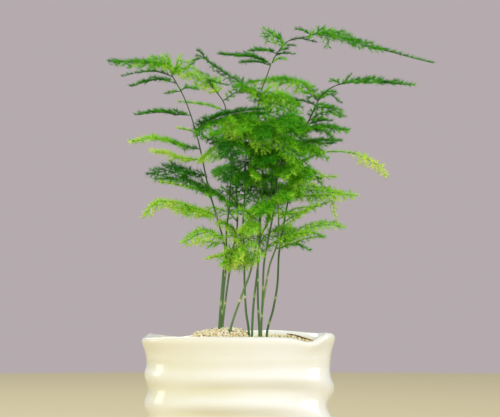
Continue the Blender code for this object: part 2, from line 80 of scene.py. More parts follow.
# A socket that takes part in a sum: maths on values, with sockets or plain numbers, adds its Math nodes
class Wire:
    def __init__(self, look, socket):
        self.look = look
        self.socket = socket

    def sum(self, operation, first, second):
        return self.look.node("Math", {"operation": operation}, {0: first, 1: second})

    def __add__(self, other):
        return self.sum("ADD", self, other)

    def __radd__(self, other):
        return self.sum("ADD", other, self)

    def __sub__(self, other):
        return self.sum("SUBTRACT", self, other)

    def __rsub__(self, other):
        return self.sum("SUBTRACT", other, self)

    def __mul__(self, other):
        return self.sum("MULTIPLY", self, other)

    def __rmul__(self, other):
        return self.sum("MULTIPLY", other, self)

    def __pow__(self, other):
        return self.sum("POWER", self, other)


# A material and its nodes. What is the same all over goes straight to the shader's sockets
class Look:
    def __init__(self, name, fixed):
        self.material = bpy.data.materials.new(name)
        self.material.use_nodes = True
        self.tree = self.material.node_tree
        self.shader = self.tree.nodes["Principled BSDF"]
        self.feed(self.shader, fixed)

    def node(self, kind, settings, sockets, out=0):
        made = self.tree.nodes.new("ShaderNode" + kind)
        for name, value in settings.items():
            if name == "stops":
                self.setStops(made.color_ramp, value)
            else:
                setattr(made, name, value)
        self.feed(made, sockets)
        return Wire(self, made.outputs[out])

    def feed(self, node, sockets):
        for key, value in sockets.items():
            if isinstance(value, Wire):
                self.tree.links.new(value.socket, node.inputs[key])
            else:
                node.inputs[key].default_value = value

    def setStops(self, ramp, stops):
        while len(ramp.elements) < len(stops):
            ramp.elements.new(0.5)
        for element, (place, colour) in zip(ramp.elements, stops):
            element.position = place
            element.color = (*colour, 1)

    def ramp(self, value, stops):
        return self.node("ValToRGB", {"stops": stops}, {0: value})

    def mix(self, share, first, second):
        return self.node("Mix", {"data_type": "RGBA"}, {0: share, 6: first, 7: second}, 2)

    def step(self, value, low, high):
        return self.node("MapRange", {"interpolation_type": "SMOOTHSTEP"}, {0: value, 1: low, 2: high})

    def noise(self, scale, detail=2.0, stretch=(1, 1, 1)):
        place = self.node("TexCoord", {}, {}, 3)
        if stretch != (1, 1, 1):
            place = self.node("VectorMath", {"operation": "MULTIPLY"}, {0: place, 1: stretch})
        return self.node("TexNoise", {}, {"Vector": place, "Scale": scale, "Detail": detail})

    def worn(self, name):
        return self.node("Attribute", {"attribute_name": name}, {}, 2)

    def bump(self, height, distance, strength=1.0):
        return self.node("Bump", {}, {"Height": height, "Distance": distance, "Strength": strength})


glaze = {
    "crest": (0.93, 0.935, 0.905),   # thin glaze on the ridges
    "hollow": (0.90, 0.89, 0.82),    # pooled glaze between them, with painted shade in the hollows
    "paintedLeftShade": (0.80, 0.77, 0.56),      # painted shade and a painted reflection of the table, on the left side
    "biscuit": (0.62, 0.50, 0.38),   # bare clay under the foot
    "roughness": 0.10,
}


def makeGlaze():
    look = Look("ivoryGlaze", {"Coat Weight": 0.5, "Coat Roughness": 0.04, "IOR": 1.5})
    clouds = look.noise(28, 3)
    # Darker, warmer glaze in the hollows between the ridges: partly pooled glaze, partly painted shade
    pooledAndShaded = look.step(look.worn("hollow") + (clouds - 0.5) * 0.7, 0.15, 1.0)
    colour = look.mix(pooledAndShaded, (*glaze["crest"], 1), (*glaze["hollow"], 1))
    place = look.node("SeparateXYZ", {}, {0: look.node("TexCoord", {}, {}, 3)})
    # Painted shade and a painted reflection of the table darken and warm the left side of the pot, most in the
    # hollows
    left = look.step(place + (look.noise(20, 2) - 0.5) * 0.05, 0.035, -0.03)
    colour = look.mix(left * (0.45 + pooledAndShaded * 0.5), colour, (*glaze["paintedLeftShade"], 1))
    bare = look.worn("bareClay")
    colour = look.mix(bare, colour, (*glaze["biscuit"], 1))
    roughness = glaze["roughness"] + look.noise(60, 2) * 0.08 + bare * 0.55
    skin = look.noise(140, 2) * 0.35 + look.noise(900, 2) * (0.02 + bare * 0.5)
    look.feed(look.shader, {"Base Color": colour, "Roughness": roughness, "Normal": look.bump(skin, 0.0004)})
    return look.material


greens = {
    "foliage": (
        (0.0, (0.006, 0.080, 0.002)),
        (0.25, (0.022, 0.220, 0.003)),
        (0.5, (0.110, 0.500, 0.006)),
        (0.75, (0.370, 0.820, 0.030)),
        (1.0, (0.820, 0.960, 0.160)),
    ),
    "cane": (
        (0.0, (0.030, 0.070, 0.020)),
        (0.35, (0.078, 0.180, 0.048)),
        (0.65, (0.300, 0.400, 0.160)),
        (0.85, (0.640, 0.580, 0.300)),
        (1.0, (0.820, 0.780, 0.560)),
    ),
    "scale": (0.28, 0.17, 0.07),
}


def makeFoliage():
    look = Look("fernNeedles", {"Specular IOR Level": 0.08})
    tone = look.worn("tone")
    along = look.worn("along")
    colour = look.ramp(tone + along * 0.08, greens["foliage"])
    look.feed(look.shader, {"Base Color": colour, "Roughness": 0.62 - along * 0.12})
    return look.material


def makeCaneSkin():
    look = Look("caneSkin", {"Specular IOR Level": 0.4})
    streaks = look.noise(1.0, 2, (2600, 2600, 160))
    blotches = look.noise(90, 2)
    tone = look.worn("tone") + (streaks - 0.5) * 0.22 + (blotches - 0.5) * 0.25
    colour = look.ramp(tone, greens["cane"])
    colour = look.mix(look.worn("dry"), colour, (*greens["scale"], 1))
    look.feed(look.shader, {"Base Color": colour, "Roughness": 0.38 + blotches * 0.2,
                            "Normal": look.bump(streaks, 0.00012, 0.6)})
    return look.material


grit = {
    "colours": (
        (0.0, (0.16, 0.10, 0.05)),
        (0.06, (0.42, 0.30, 0.14)),
        (0.12, (0.74, 0.60, 0.33)),
        (0.45, (0.86, 0.77, 0.50)),
        (0.75, (0.90, 0.84, 0.62)),
        (1.0, (0.93, 0.91, 0.82)),
    ),
    "bed": 0.3,                  # the tone of the fines under the grains
}


def makeGrit():
    look = Look("creamGrit", {"Specular IOR Level": 0.3})
    colour = look.ramp(look.worn("tone"), grit["colours"])
    shade = look.worn("along")
    # Painted shade: browner and darker on the lower side of each grain and over the bed under them
    colour = look.mix(shade * 0.35, colour, (0.55, 0.40, 0.19, 1))
    look.feed(look.shader, {"Base Color": colour, "Roughness": 0.72 + shade * 0.15})
    return look.material


def makeSoil():
    look = Look("pottingSoil", {"Specular IOR Level": 0.2})
    crumbs = look.noise(420, 4)
    colour = look.ramp(crumbs, ((0.35, (0.02, 0.012, 0.007)), (0.55, (0.075, 0.045, 0.027)),
                                (0.72, (0.16, 0.10, 0.06))))
    look.feed(look.shader, {"Base Color": colour, "Roughness": 0.85 + crumbs * 0.12,
                            "Normal": look.bump(crumbs, 0.0012)})
    return look.material


looks = {
    "glaze": makeGlaze(),
    "foliage": makeFoliage(),
    "cane": makeCaneSkin(),
    "grit": makeGrit(),
    "soil": makeSoil(),
}
print("materials made:", len(looks))


# MESH HELPERS

# Gathers triangles with two numbers a point, tone and along, which the materials read
class Heap:
    def __init__(self):
        self.points = []
        self.faces = []
        self.marks = []
        self.count = 0

    def add(self, points, faces, tone, along):
        self.points.append(points)
        self.faces.append(faces + self.count)
        self.marks.append(np.stack([np.broadcast_to(tone, len(points)), np.broadcast_to(along, len(points))], 1))
        self.count += len(points)

    # Mapped pieces get a map named OFBake, laid out by tone and along; the rest get no map
    def build(self, name, material, smooth=True, mapped=True):
        mesh = bpy.data.meshes.new(name)
        faces = np.concatenate(self.faces)
        mesh.from_pydata((np.concatenate(self.points) * mm).tolist(), [], faces.tolist())
        marks = np.concatenate(self.marks)
        for column, mark in enumerate(("tone", "along")):
            mesh.attributes.new(mark, "FLOAT", "POINT").data.foreach_set("value", marks[:, column])
        if mapped:
            low, high = marks.min(0), marks.max(0)
            corners = 0.01 + 0.98 * ((marks - low) / (high - low))[faces.ravel()]
            corners[:, 0] += np.tile((-0.004, 0, 0.004), len(faces))     # so that no face is a line in the map
            mesh.uv_layers.new(name="OFBake").uv.foreach_set("vector", corners.ravel())
        mesh.materials.append(material)
        if smooth:
            mesh.shade_smooth()
        return addPiece(name, mesh)


def addPiece(name, mesh):
    piece = bpy.data.objects.new(name, mesh)
    bpy.context.scene.collection.objects.link(piece)
    return piece


def unit(vectors):
    return vectors / np.linalg.norm(vectors, axis=-1, keepdims=True)


# A smooth line through points, read at shares of its length
class Line:
    def __init__(self, points, spacing=None):
        points = np.array(points, float)
        if spacing:
            points = self.smooth(points)
        self.measure(points)
        if spacing:
            steps = max(3, round(self.length / spacing))
            self.measure(self.at(np.linspace(0, 1, steps + 1)))

    def smooth(self, points):
        ends = [2 * points[0] - points[1], *points, 2 * points[-1] - points[-2]]
        t = np.linspace(0, 1, 24, endpoint=False)[:, None]
        dense = [
            0.5 * (2 * b + (c - a) * t + (2 * a - 5 * b + 4 * c - d) * t**2 + (3 * b - a - 3 * c + d) * t**3)
            for a, b, c, d in zip(ends, ends[1:], ends[2:], ends[3:])
        ]
        return np.vstack([*dense, points[-1:]])

    def measure(self, points):
        self.points = points
        gaps = np.linalg.norm(np.diff(points, axis=0), axis=1)
        self.length = gaps.sum()
        self.shares = np.concatenate([[0], np.cumsum(gaps)]) / self.length
        self.tangents = unit(np.gradient(points, self.shares, axis=0))

    def read(self, values, shares):
        return np.stack([np.interp(shares, self.shares, values[:, axis]) for axis in range(3)], -1)

    def at(self, shares):
        return self.read(self.points, shares)

    def heading(self, shares):
        return unit(self.read(self.tangents, shares))

    def nearest(self, point):
        starts, steps = self.points[:-1], np.diff(self.points, axis=0)
        share = ((point - starts) * steps).sum(1) / (steps * steps).sum(1)
        places = starts + np.clip(share, 0, 1)[:, None] * steps
        return places[np.argmin(np.linalg.norm(places - point, axis=1))]


# A tube with a point at its far end. tone and radius are read along it, and its left side is paler with a painted
# highlight
def addTube(heap, line, radii, sides, tones, pale=0.0):
    rings = len(line.points)
    heading = line.tangents
    across = np.zeros((rings, 3))
    across[0] = unit(np.cross(heading[0], (0.13, 0.9, 0.4)))
    for i in range(1, rings):      # carried along, so that the tube doesn't twist
        step = across[i - 1] - heading[i] * (across[i - 1] @ heading[i])
        across[i] = unit(step)
    up = np.cross(heading, across)
    turn = np.linspace(0, 2 * np.pi, sides, endpoint=False)
    ring = np.cos(turn)[None, :, None] * across[:, None] + np.sin(turn)[None, :, None] * up[:, None]
    points = (line.points[:, None] + ring * np.asarray(radii)[:, None, None]).reshape(-1, 3)
    tip = line.points[-1] + heading[-1] * radii[-1] * 2
    a = np.arange(rings - 1)[:, None] * sides + np.arange(sides)
    b = np.arange(rings - 1)[:, None] * sides + (np.arange(sides) + 1) % sides
    walls = np.concatenate([np.stack([a, b, b + sides], -1).reshape(-1, 3),
                            np.stack([a, b + sides, a + sides], -1).reshape(-1, 3)])
    last = (rings - 1) * sides + np.arange(sides)
    cap = np.stack([last, (last - (rings - 1) * sides + 1) % sides + (rings - 1) * sides,
                    np.full(sides, rings * sides)], -1)
    spread = np.tile(np.linspace(-0.03, 0.03, sides), rings)      # so that no face is a line in the bake's map
    tones = np.broadcast_to(tones, rings)
    # Painted highlight: the tube's left side is paler, as if lit
    paintedHighlight = np.clip(-ring[..., 0] - 0.3, 0, 1).ravel() * pale
    tones = np.append(np.repeat(tones, sides) + spread + paintedHighlight, tones[-1])
    along = np.append(np.repeat(line.shares, sides), 1)
    heap.add(np.vstack([points, tip]), np.vstack([walls, cap]), tones, along)


# Many three-sided needles at once: each is a slim cone, its root in what bears it
def addNeedles(heap, roots, headings, lengths, radius, tones):
    count = len(roots)
    helper = np.where(np.abs(headings[:, 2:]) > 0.9, [[1.0, 0, 0]], [[0, 0, 1.0]])
    side = unit(np.cross(headings, helper))
    up = np.cross(side, headings)
    turn = np.radians([90, 210, 330])
    ring = np.cos(turn)[None, :, None] * side[:, None] + np.sin(turn)[None, :, None] * up[:, None]
    base = roots[:, None] + ring * radius
    tips = (roots + headings * lengths[:, None])[:, None]
    points = np.concatenate([base, tips], 1).reshape(-1, 3)
    start = np.arange(count)[:, None, None] * 4
    faces = (start + np.array([[0, 1, 3], [1, 2, 3], [2, 0, 3]])).reshape(-1, 3)
    tones = np.repeat(tones, 4) + np.tile([-0.03, 0, 0.03, 0], count)
    heap.add(points, faces, tones, np.tile([0, 0, 0, 1.0], count))


# POT

pot = {
    "height": 110.0,
    "halfWidth": 60.1,
    "wall": 5.4,
    "floor": 8.0,
    "innerRounding": 4.0,
    "footBevel": 2.5,
    "squareness": 8.0,
    "ripplePitch": 17.2,
    "rippleHeight": 1.35,
    "rippleFade": 9.0,           # how soon the ridges start under the lip and end over the foot
    "rippleStretch": 0.4,        # how much farther apart the ridges are at the right
    "firstCrest": 30.5,
    "wander": (1.85, 5.5, -2.0),
    "swell": 0.4,
    "drift": 1.9,
    "unevenness": 0.45,
    "lipDepth": 15.0,
    "rimDepth": 14.0,
    "cornerFlare": 2.5,
    # the lip from the inside over the top: out from the wall's inner face, and under the rim
    "lip": ((0, 14), (1.0, 4), (2.8, 0.8), (4.8, 0), (6.6, 0.7), (7.5, 2.4), (7.3, 4.6), (6.4, 8), (5.6, 12),
            (5.4, 15)),
    # dips of the rim: angle and width in radians, and depth, negative where it rises
    "dips": ((-1.05, 0.15, 3.1), (-0.78, 0.2, -2.8), (-0.45, 0.25, -1.6), (-1.7, 0.5, -0.8),
             (2.0, 0.27, 3.4), (2.45, 0.3, 1.4), (1.45, 0.3, -1.0), (0.88, 0.25, 1.0)),
    "columns": 224,
    "rippleRows": 90,
}


def squareDirection(angle):
    c, s = np.cos(angle), np.sin(angle)
    return unit(np.stack([np.sign(c) * np.sqrt(np.abs(c)), np.sign(s) * np.sqrt(np.abs(s))], -1))


def squareReach(angle):
    x, y = np.abs(squareDirection(angle)).T
    return 1 / (x ** pot["squareness"] + y ** pot["squareness"]) ** (1 / pot["squareness"])


# How far the wall stands out at this depth under the rim, in ridges that wander round the pot
def ripple(depth, angle):
    terms = (np.cos(angle), np.sin(angle), np.sin(2 * angle))
    shift = sum(amount * term for amount, term in zip(pot["wander"], terms))
    shift = shift + pot["drift"] * np.sin(3 * angle + depth / 19)
    swell = (1 + pot["swell"] * np.cos(angle)) * (1 + pot["unevenness"] * np.sin(5 * angle + depth / 15))
    rightward = (0.5 + 0.5 * np.cos(angle)) ** 2
    pitch = pot["ripplePitch"] * (1 + pot["rippleStretch"] * rightward)
    crest = np.cos(2 * np.pi * (depth - pot["firstCrest"] - shift) / pitch)
    underLip = np.clip((depth - pot["lipDepth"] + 2) / (pot["rippleFade"] * (1 + rightward)), 0, 1)
    aboveFoot = np.clip((pot["height"] - depth) / pot["rippleFade"], 0, 1)
    return pot["rippleHeight"] * swell * crest * underLip * aboveFoot


def rimDrop(angle):
    drop = np.zeros_like(angle)
    for place, wide, deep in pot["dips"]:
        away = np.remainder(angle - place + np.pi, 2 * np.pi) - np.pi
        drop -= deep * np.exp(-((away / wide) ** 2))
    return drop


def makePot():
    inner = pot["halfWidth"] - pot["wall"]
    lip = [(inner + out, pot["height"] - depth) for out, depth in pot["lip"]]
    lip = Line([(radius, 0, height) for radius, height in lip], 0.7).points[:, [0, 2]]
    rows = np.linspace(pot["lipDepth"], pot["height"] - pot["footBevel"], pot["rippleRows"] + 1)[1:]
    wall = np.stack([np.full(len(rows), pot["halfWidth"]), pot["height"] - rows], 1)
    turn = np.linspace(0, np.pi / 2, 6)[:, None]
    bevel = pot["footBevel"]
    foot = np.hstack([pot["halfWidth"] - bevel * (1 - np.cos(turn)), bevel * (1 - np.sin(turn))])[1:]
    round_ = pot["innerRounding"]
    well = np.hstack([inner - round_ * (1 - np.sin(turn)), pot["floor"] + round_ * (1 - np.cos(turn))])
    inside = np.stack([np.full(12, inner), np.linspace(pot["floor"] + round_, pot["height"] - 14, 14)[1:-1]], 1)
    under = [(radius, 0.0) for radius in (40, 20, 0.0)]
    floor = [(radius, pot["floor"]) for radius in (0.0, 20, 40)]
    profile = np.vstack([floor, well, inside, lip, wall, foot, under])

    columns = pot["columns"]
    angle = np.linspace(0, 2 * np.pi, columns, endpoint=False)
    radius = np.repeat(profile[:, :1], columns, 1)
    height = np.repeat(profile[:, 1:], columns, 1)
    turns = np.repeat(angle[None], len(profile), 0)
    outside = radius > pot["halfWidth"] - bevel + 0.01
    swell = ripple(pot["height"] - height, turns)
    nearFoot = np.clip(height / bevel, 0, 1)
    radius = radius + np.where(outside, swell * nearFoot, 0)
    nearRim = np.clip((height - pot["height"] + pot["rimDepth"]) / pot["rimDepth"], 0, 1)
    radius = radius + pot["cornerFlare"] * np.sin(2 * turns) ** 4 * nearRim**2
    height = height + rimDrop(turns) * nearRim
    flat = squareDirection(turns) * (radius * squareReach(angle))[..., None]
    points = np.concatenate([flat, height[..., None]], -1)

    across = len(profile)
    order = np.arange(across * columns).reshape(across, columns)
    nextRound = np.roll(order, -1, 1)
    quads = np.stack([order[1:], nextRound[1:], nextRound[:-1], order[:-1]], -1).reshape(-1, 4)
    mesh = bpy.data.meshes.new("pot")
    mesh.from_pydata((points.reshape(-1, 3) * mm).tolist(), [], quads.tolist())
    hollow = np.where(outside, 0.5 - 0.5 * swell / pot["rippleHeight"], 0.35)
    bare = np.clip(1 - height / 1.2, 0, 1) * (profile[:, 1:] < 1)
    for name, values in (("hollow", hollow), ("bareClay", bare)):
        mesh.attributes.new(name, "FLOAT", "POINT").data.foreach_set("value", values.ravel())
    down = np.concatenate([[0], np.cumsum(np.linalg.norm(np.diff(profile, axis=0), axis=1))])
    down = down / down[-1]
    v = np.repeat(np.stack([down[1:], down[1:], down[:-1], down[:-1]], -1)[:, None], columns, 1)
    u = np.arange(columns) / columns
    u = np.repeat(np.stack([u, u + 1 / columns, u + 1 / columns, u], -1)[None], across - 1, 0)
    mesh.uv_layers.new(name="OFBake").uv.foreach_set("vector", np.stack([u, v], -1).ravel())
    mesh.materials.append(looks["glaze"])
    mesh.shade_smooth()
    bm = bmesh.new()
    bm.from_mesh(mesh)
    bmesh.ops.remove_doubles(bm, verts=bm.verts, dist=0.00001)
    bmesh.ops.recalc_face_normals(bm, faces=bm.faces)
    bm.to_mesh(mesh)
    bm.free()
    piece = addPiece("rippledPot", mesh)
    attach(piece, "root")
    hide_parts("pot")
    return len(mesh.polygons)


print("pot made:", makePot(), "faces")


# GRIT AND SOIL

gravel = {
    "edge": 104.0,               # height of its surface by the wall
    # heaps on it: the middle, the radius, how steep the edge is, and the height
    "heaps": ((-12, 2, 21, 6, 7.4), (-5, 2, 14, 4, 1.5), (27, 34, 21, 4, 4.0)),
    "bottom": 98.35,
    "gap": 0.35,                 # to the pot's wall
    "grain": (0.95, 1.5),        # radius of a grain
    "spacing": 2.15,
    "piled": 420,                # more grains heaped round the stems
    "stoneKinds": 9,
    # bits of dry stem that lie on it: where they start and end
    "litter": (((36, 31), (45, 22)), ((40, 26), (50, 17)), ((33, 33), (39, 28)), ((-22, -30), (-14, -34)),
               ((14, -38), (23, -35)), ((-40, 30), (-33, 36))),
    "seed": 5,
}


def mound(x, y):
    height = gravel["edge"]
    for middleX, middleY, radius, steepness, top in gravel["heaps"]:
        height = height + top * np.exp(-((np.hypot(x - middleX, y - middleY) / radius) ** steepness))
    return height


def makeStone(draw):
    bm = bmesh.new()
    bmesh.ops.create_icosphere(bm, subdivisions=1, radius=1)
    points = np.array([vertex.co for vertex in bm.verts])
    faces = np.array([[vertex.index for vertex in face.verts] for face in bm.faces])
    bm.free()
    points *= draw.uniform(0.72, 1.14, (len(points), 1))
    return points * draw.uniform((0.8, 0.75, 0.6), (1.25, 1.1, 0.95)), faces


def randomTurns(draw, count):
    q = unit(draw.normal(size=(count, 4)))
    w, x, y, z = q.T
    return np.stack([
        1 - 2 * (y * y + z * z), 2 * (x * y - z * w), 2 * (x * z + y * w),
        2 * (x * y + z * w), 1 - 2 * (x * x + z * z), 2 * (y * z - x * w),
        2 * (x * z - y * w), 2 * (y * z + x * w), 1 - 2 * (x * x + y * y),
    ], 1).reshape(-1, 3, 3)


def insideSquare(x, y, halfWidth):
    return (np.abs(x / halfWidth) ** pot["squareness"] + np.abs(y / halfWidth) ** pot["squareness"]) < 1


def makeBed(heap, draw):
    inner = pot["halfWidth"] - pot["wall"] - gravel["gap"]
    rings, columns = 30, 128
    angle = np.linspace(0, 2 * np.pi, columns, endpoint=False)
    reach = squareReach(angle)
    direction = squareDirection(angle)
    layers = [(inner * ring / rings, None) for ring in range(1, rings + 1)] + [(inner, gravel["bottom"])]
    points = []
    for radius, height in layers:
        flat = direction * (radius * reach)[:, None]
        rough = draw.uniform(-0.35, 0.15, columns) if radius < inner else np.zeros(columns)
        z = mound(*flat.T) - 0.5 + rough if height is None else np.full(columns, height)
        points.append(np.column_stack([flat, z]))
    middle = np.array([[0, 0, mound(0, 0) - 0.5], [0, 0, gravel["bottom"]]])
    a = np.arange(len(layers) - 1)[:, None] * columns + np.arange(columns)
    b = np.arange(len(layers) - 1)[:, None] * columns + (np.arange(columns) + 1) % columns
    sheets = [np.stack([a, a + columns, b + columns], -1).reshape(-1, 3),
              np.stack([a, b + columns, b], -1).reshape(-1, 3)]
    top = len(layers) * columns
    first, last = np.arange(columns), np.arange(columns) + (len(layers) - 1) * columns
    sheets.append(np.stack([np.full(columns, top), first, np.roll(first, -1)], -1))
    sheets.append(np.stack([np.full(columns, top + 1), np.roll(last, -1), last], -1))
    points = np.vstack([*points, middle])
    # The bed under the grains gets strong, uneven painted shade
    heap.add(points, np.vstack(sheets), grit["bed"], draw.uniform(0.6, 1, len(points)))


def makeGravel(feet):
    draw = np.random.default_rng(gravel["seed"])
    heap = Heap()
    makeBed(heap, draw)
    span = np.arange(-54, 54, gravel["spacing"])
    x, y = (axis.ravel() for axis in np.meshgrid(span, span))
    x = x + draw.uniform(-0.9, 0.9, len(x))
    y = y + draw.uniform(-0.9, 0.9, len(y))
    z = mound(x, y) - 0.1 + draw.uniform(-0.5, 0.5, len(x))
    heapX = draw.normal(gravel["heaps"][0][0], 13, gravel["piled"])
    heapY = draw.normal(gravel["heaps"][0][1], 13, gravel["piled"])
    heapZ = mound(heapX, heapY) + draw.uniform(0.2, 1.2, gravel["piled"])
    x, y, z = np.append(x, heapX), np.append(y, heapY), np.append(z, heapZ)
    size = draw.uniform(*gravel["grain"], len(x))
    clear = np.hypot(x[:, None] - feet[:, 0], y[:, None] - feet[:, 1]).min(1) > size + 0.9
    keep = insideSquare(x, y, pot["halfWidth"] - pot["wall"] + 0.5 - size) & clear
    x, y, z, size = x[keep], y[keep], z[keep], size[keep]
    kinds = draw.integers(0, gravel["stoneKinds"], len(x))
    tones = np.clip(draw.beta(2.2, 1.8, len(x)), 0.08, 1)
    tones[draw.random(len(x)) < 0.012] = 0.03
    for kind in range(gravel["stoneKinds"]):
        stone, faces = makeStone(draw)
        mine = np.flatnonzero(kinds == kind)
        turned = np.einsum("nij,vj->nvi", randomTurns(draw, len(mine)), stone) * size[mine, None, None]
        points = turned + np.stack([x[mine], y[mine], z[mine]], 1)[:, None]
        starts = np.arange(len(mine))[:, None, None] * len(stone)
        # Painted shade: each grain's lower side gets a higher shade value
        shade = np.clip(0.5 - turned[..., 2] / size[mine, None], 0, 1)
        heap.add(points.reshape(-1, 3), (starts + faces).reshape(-1, 3),
                 np.repeat(tones[mine], len(stone)), shade.ravel())
    for ends in gravel["litter"]:
        bit = Line([(*place, mound(*place) + 1.3) for place in ends], 2.0)
        addTube(heap, bit, np.full(len(bit.points), 0.45), 5, 0.0)
    piece = heap.build("gritTop", looks["grit"], smooth=False)
    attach(piece, "root")
    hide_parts("gravel_top")
    return len(piece.data.polygons)
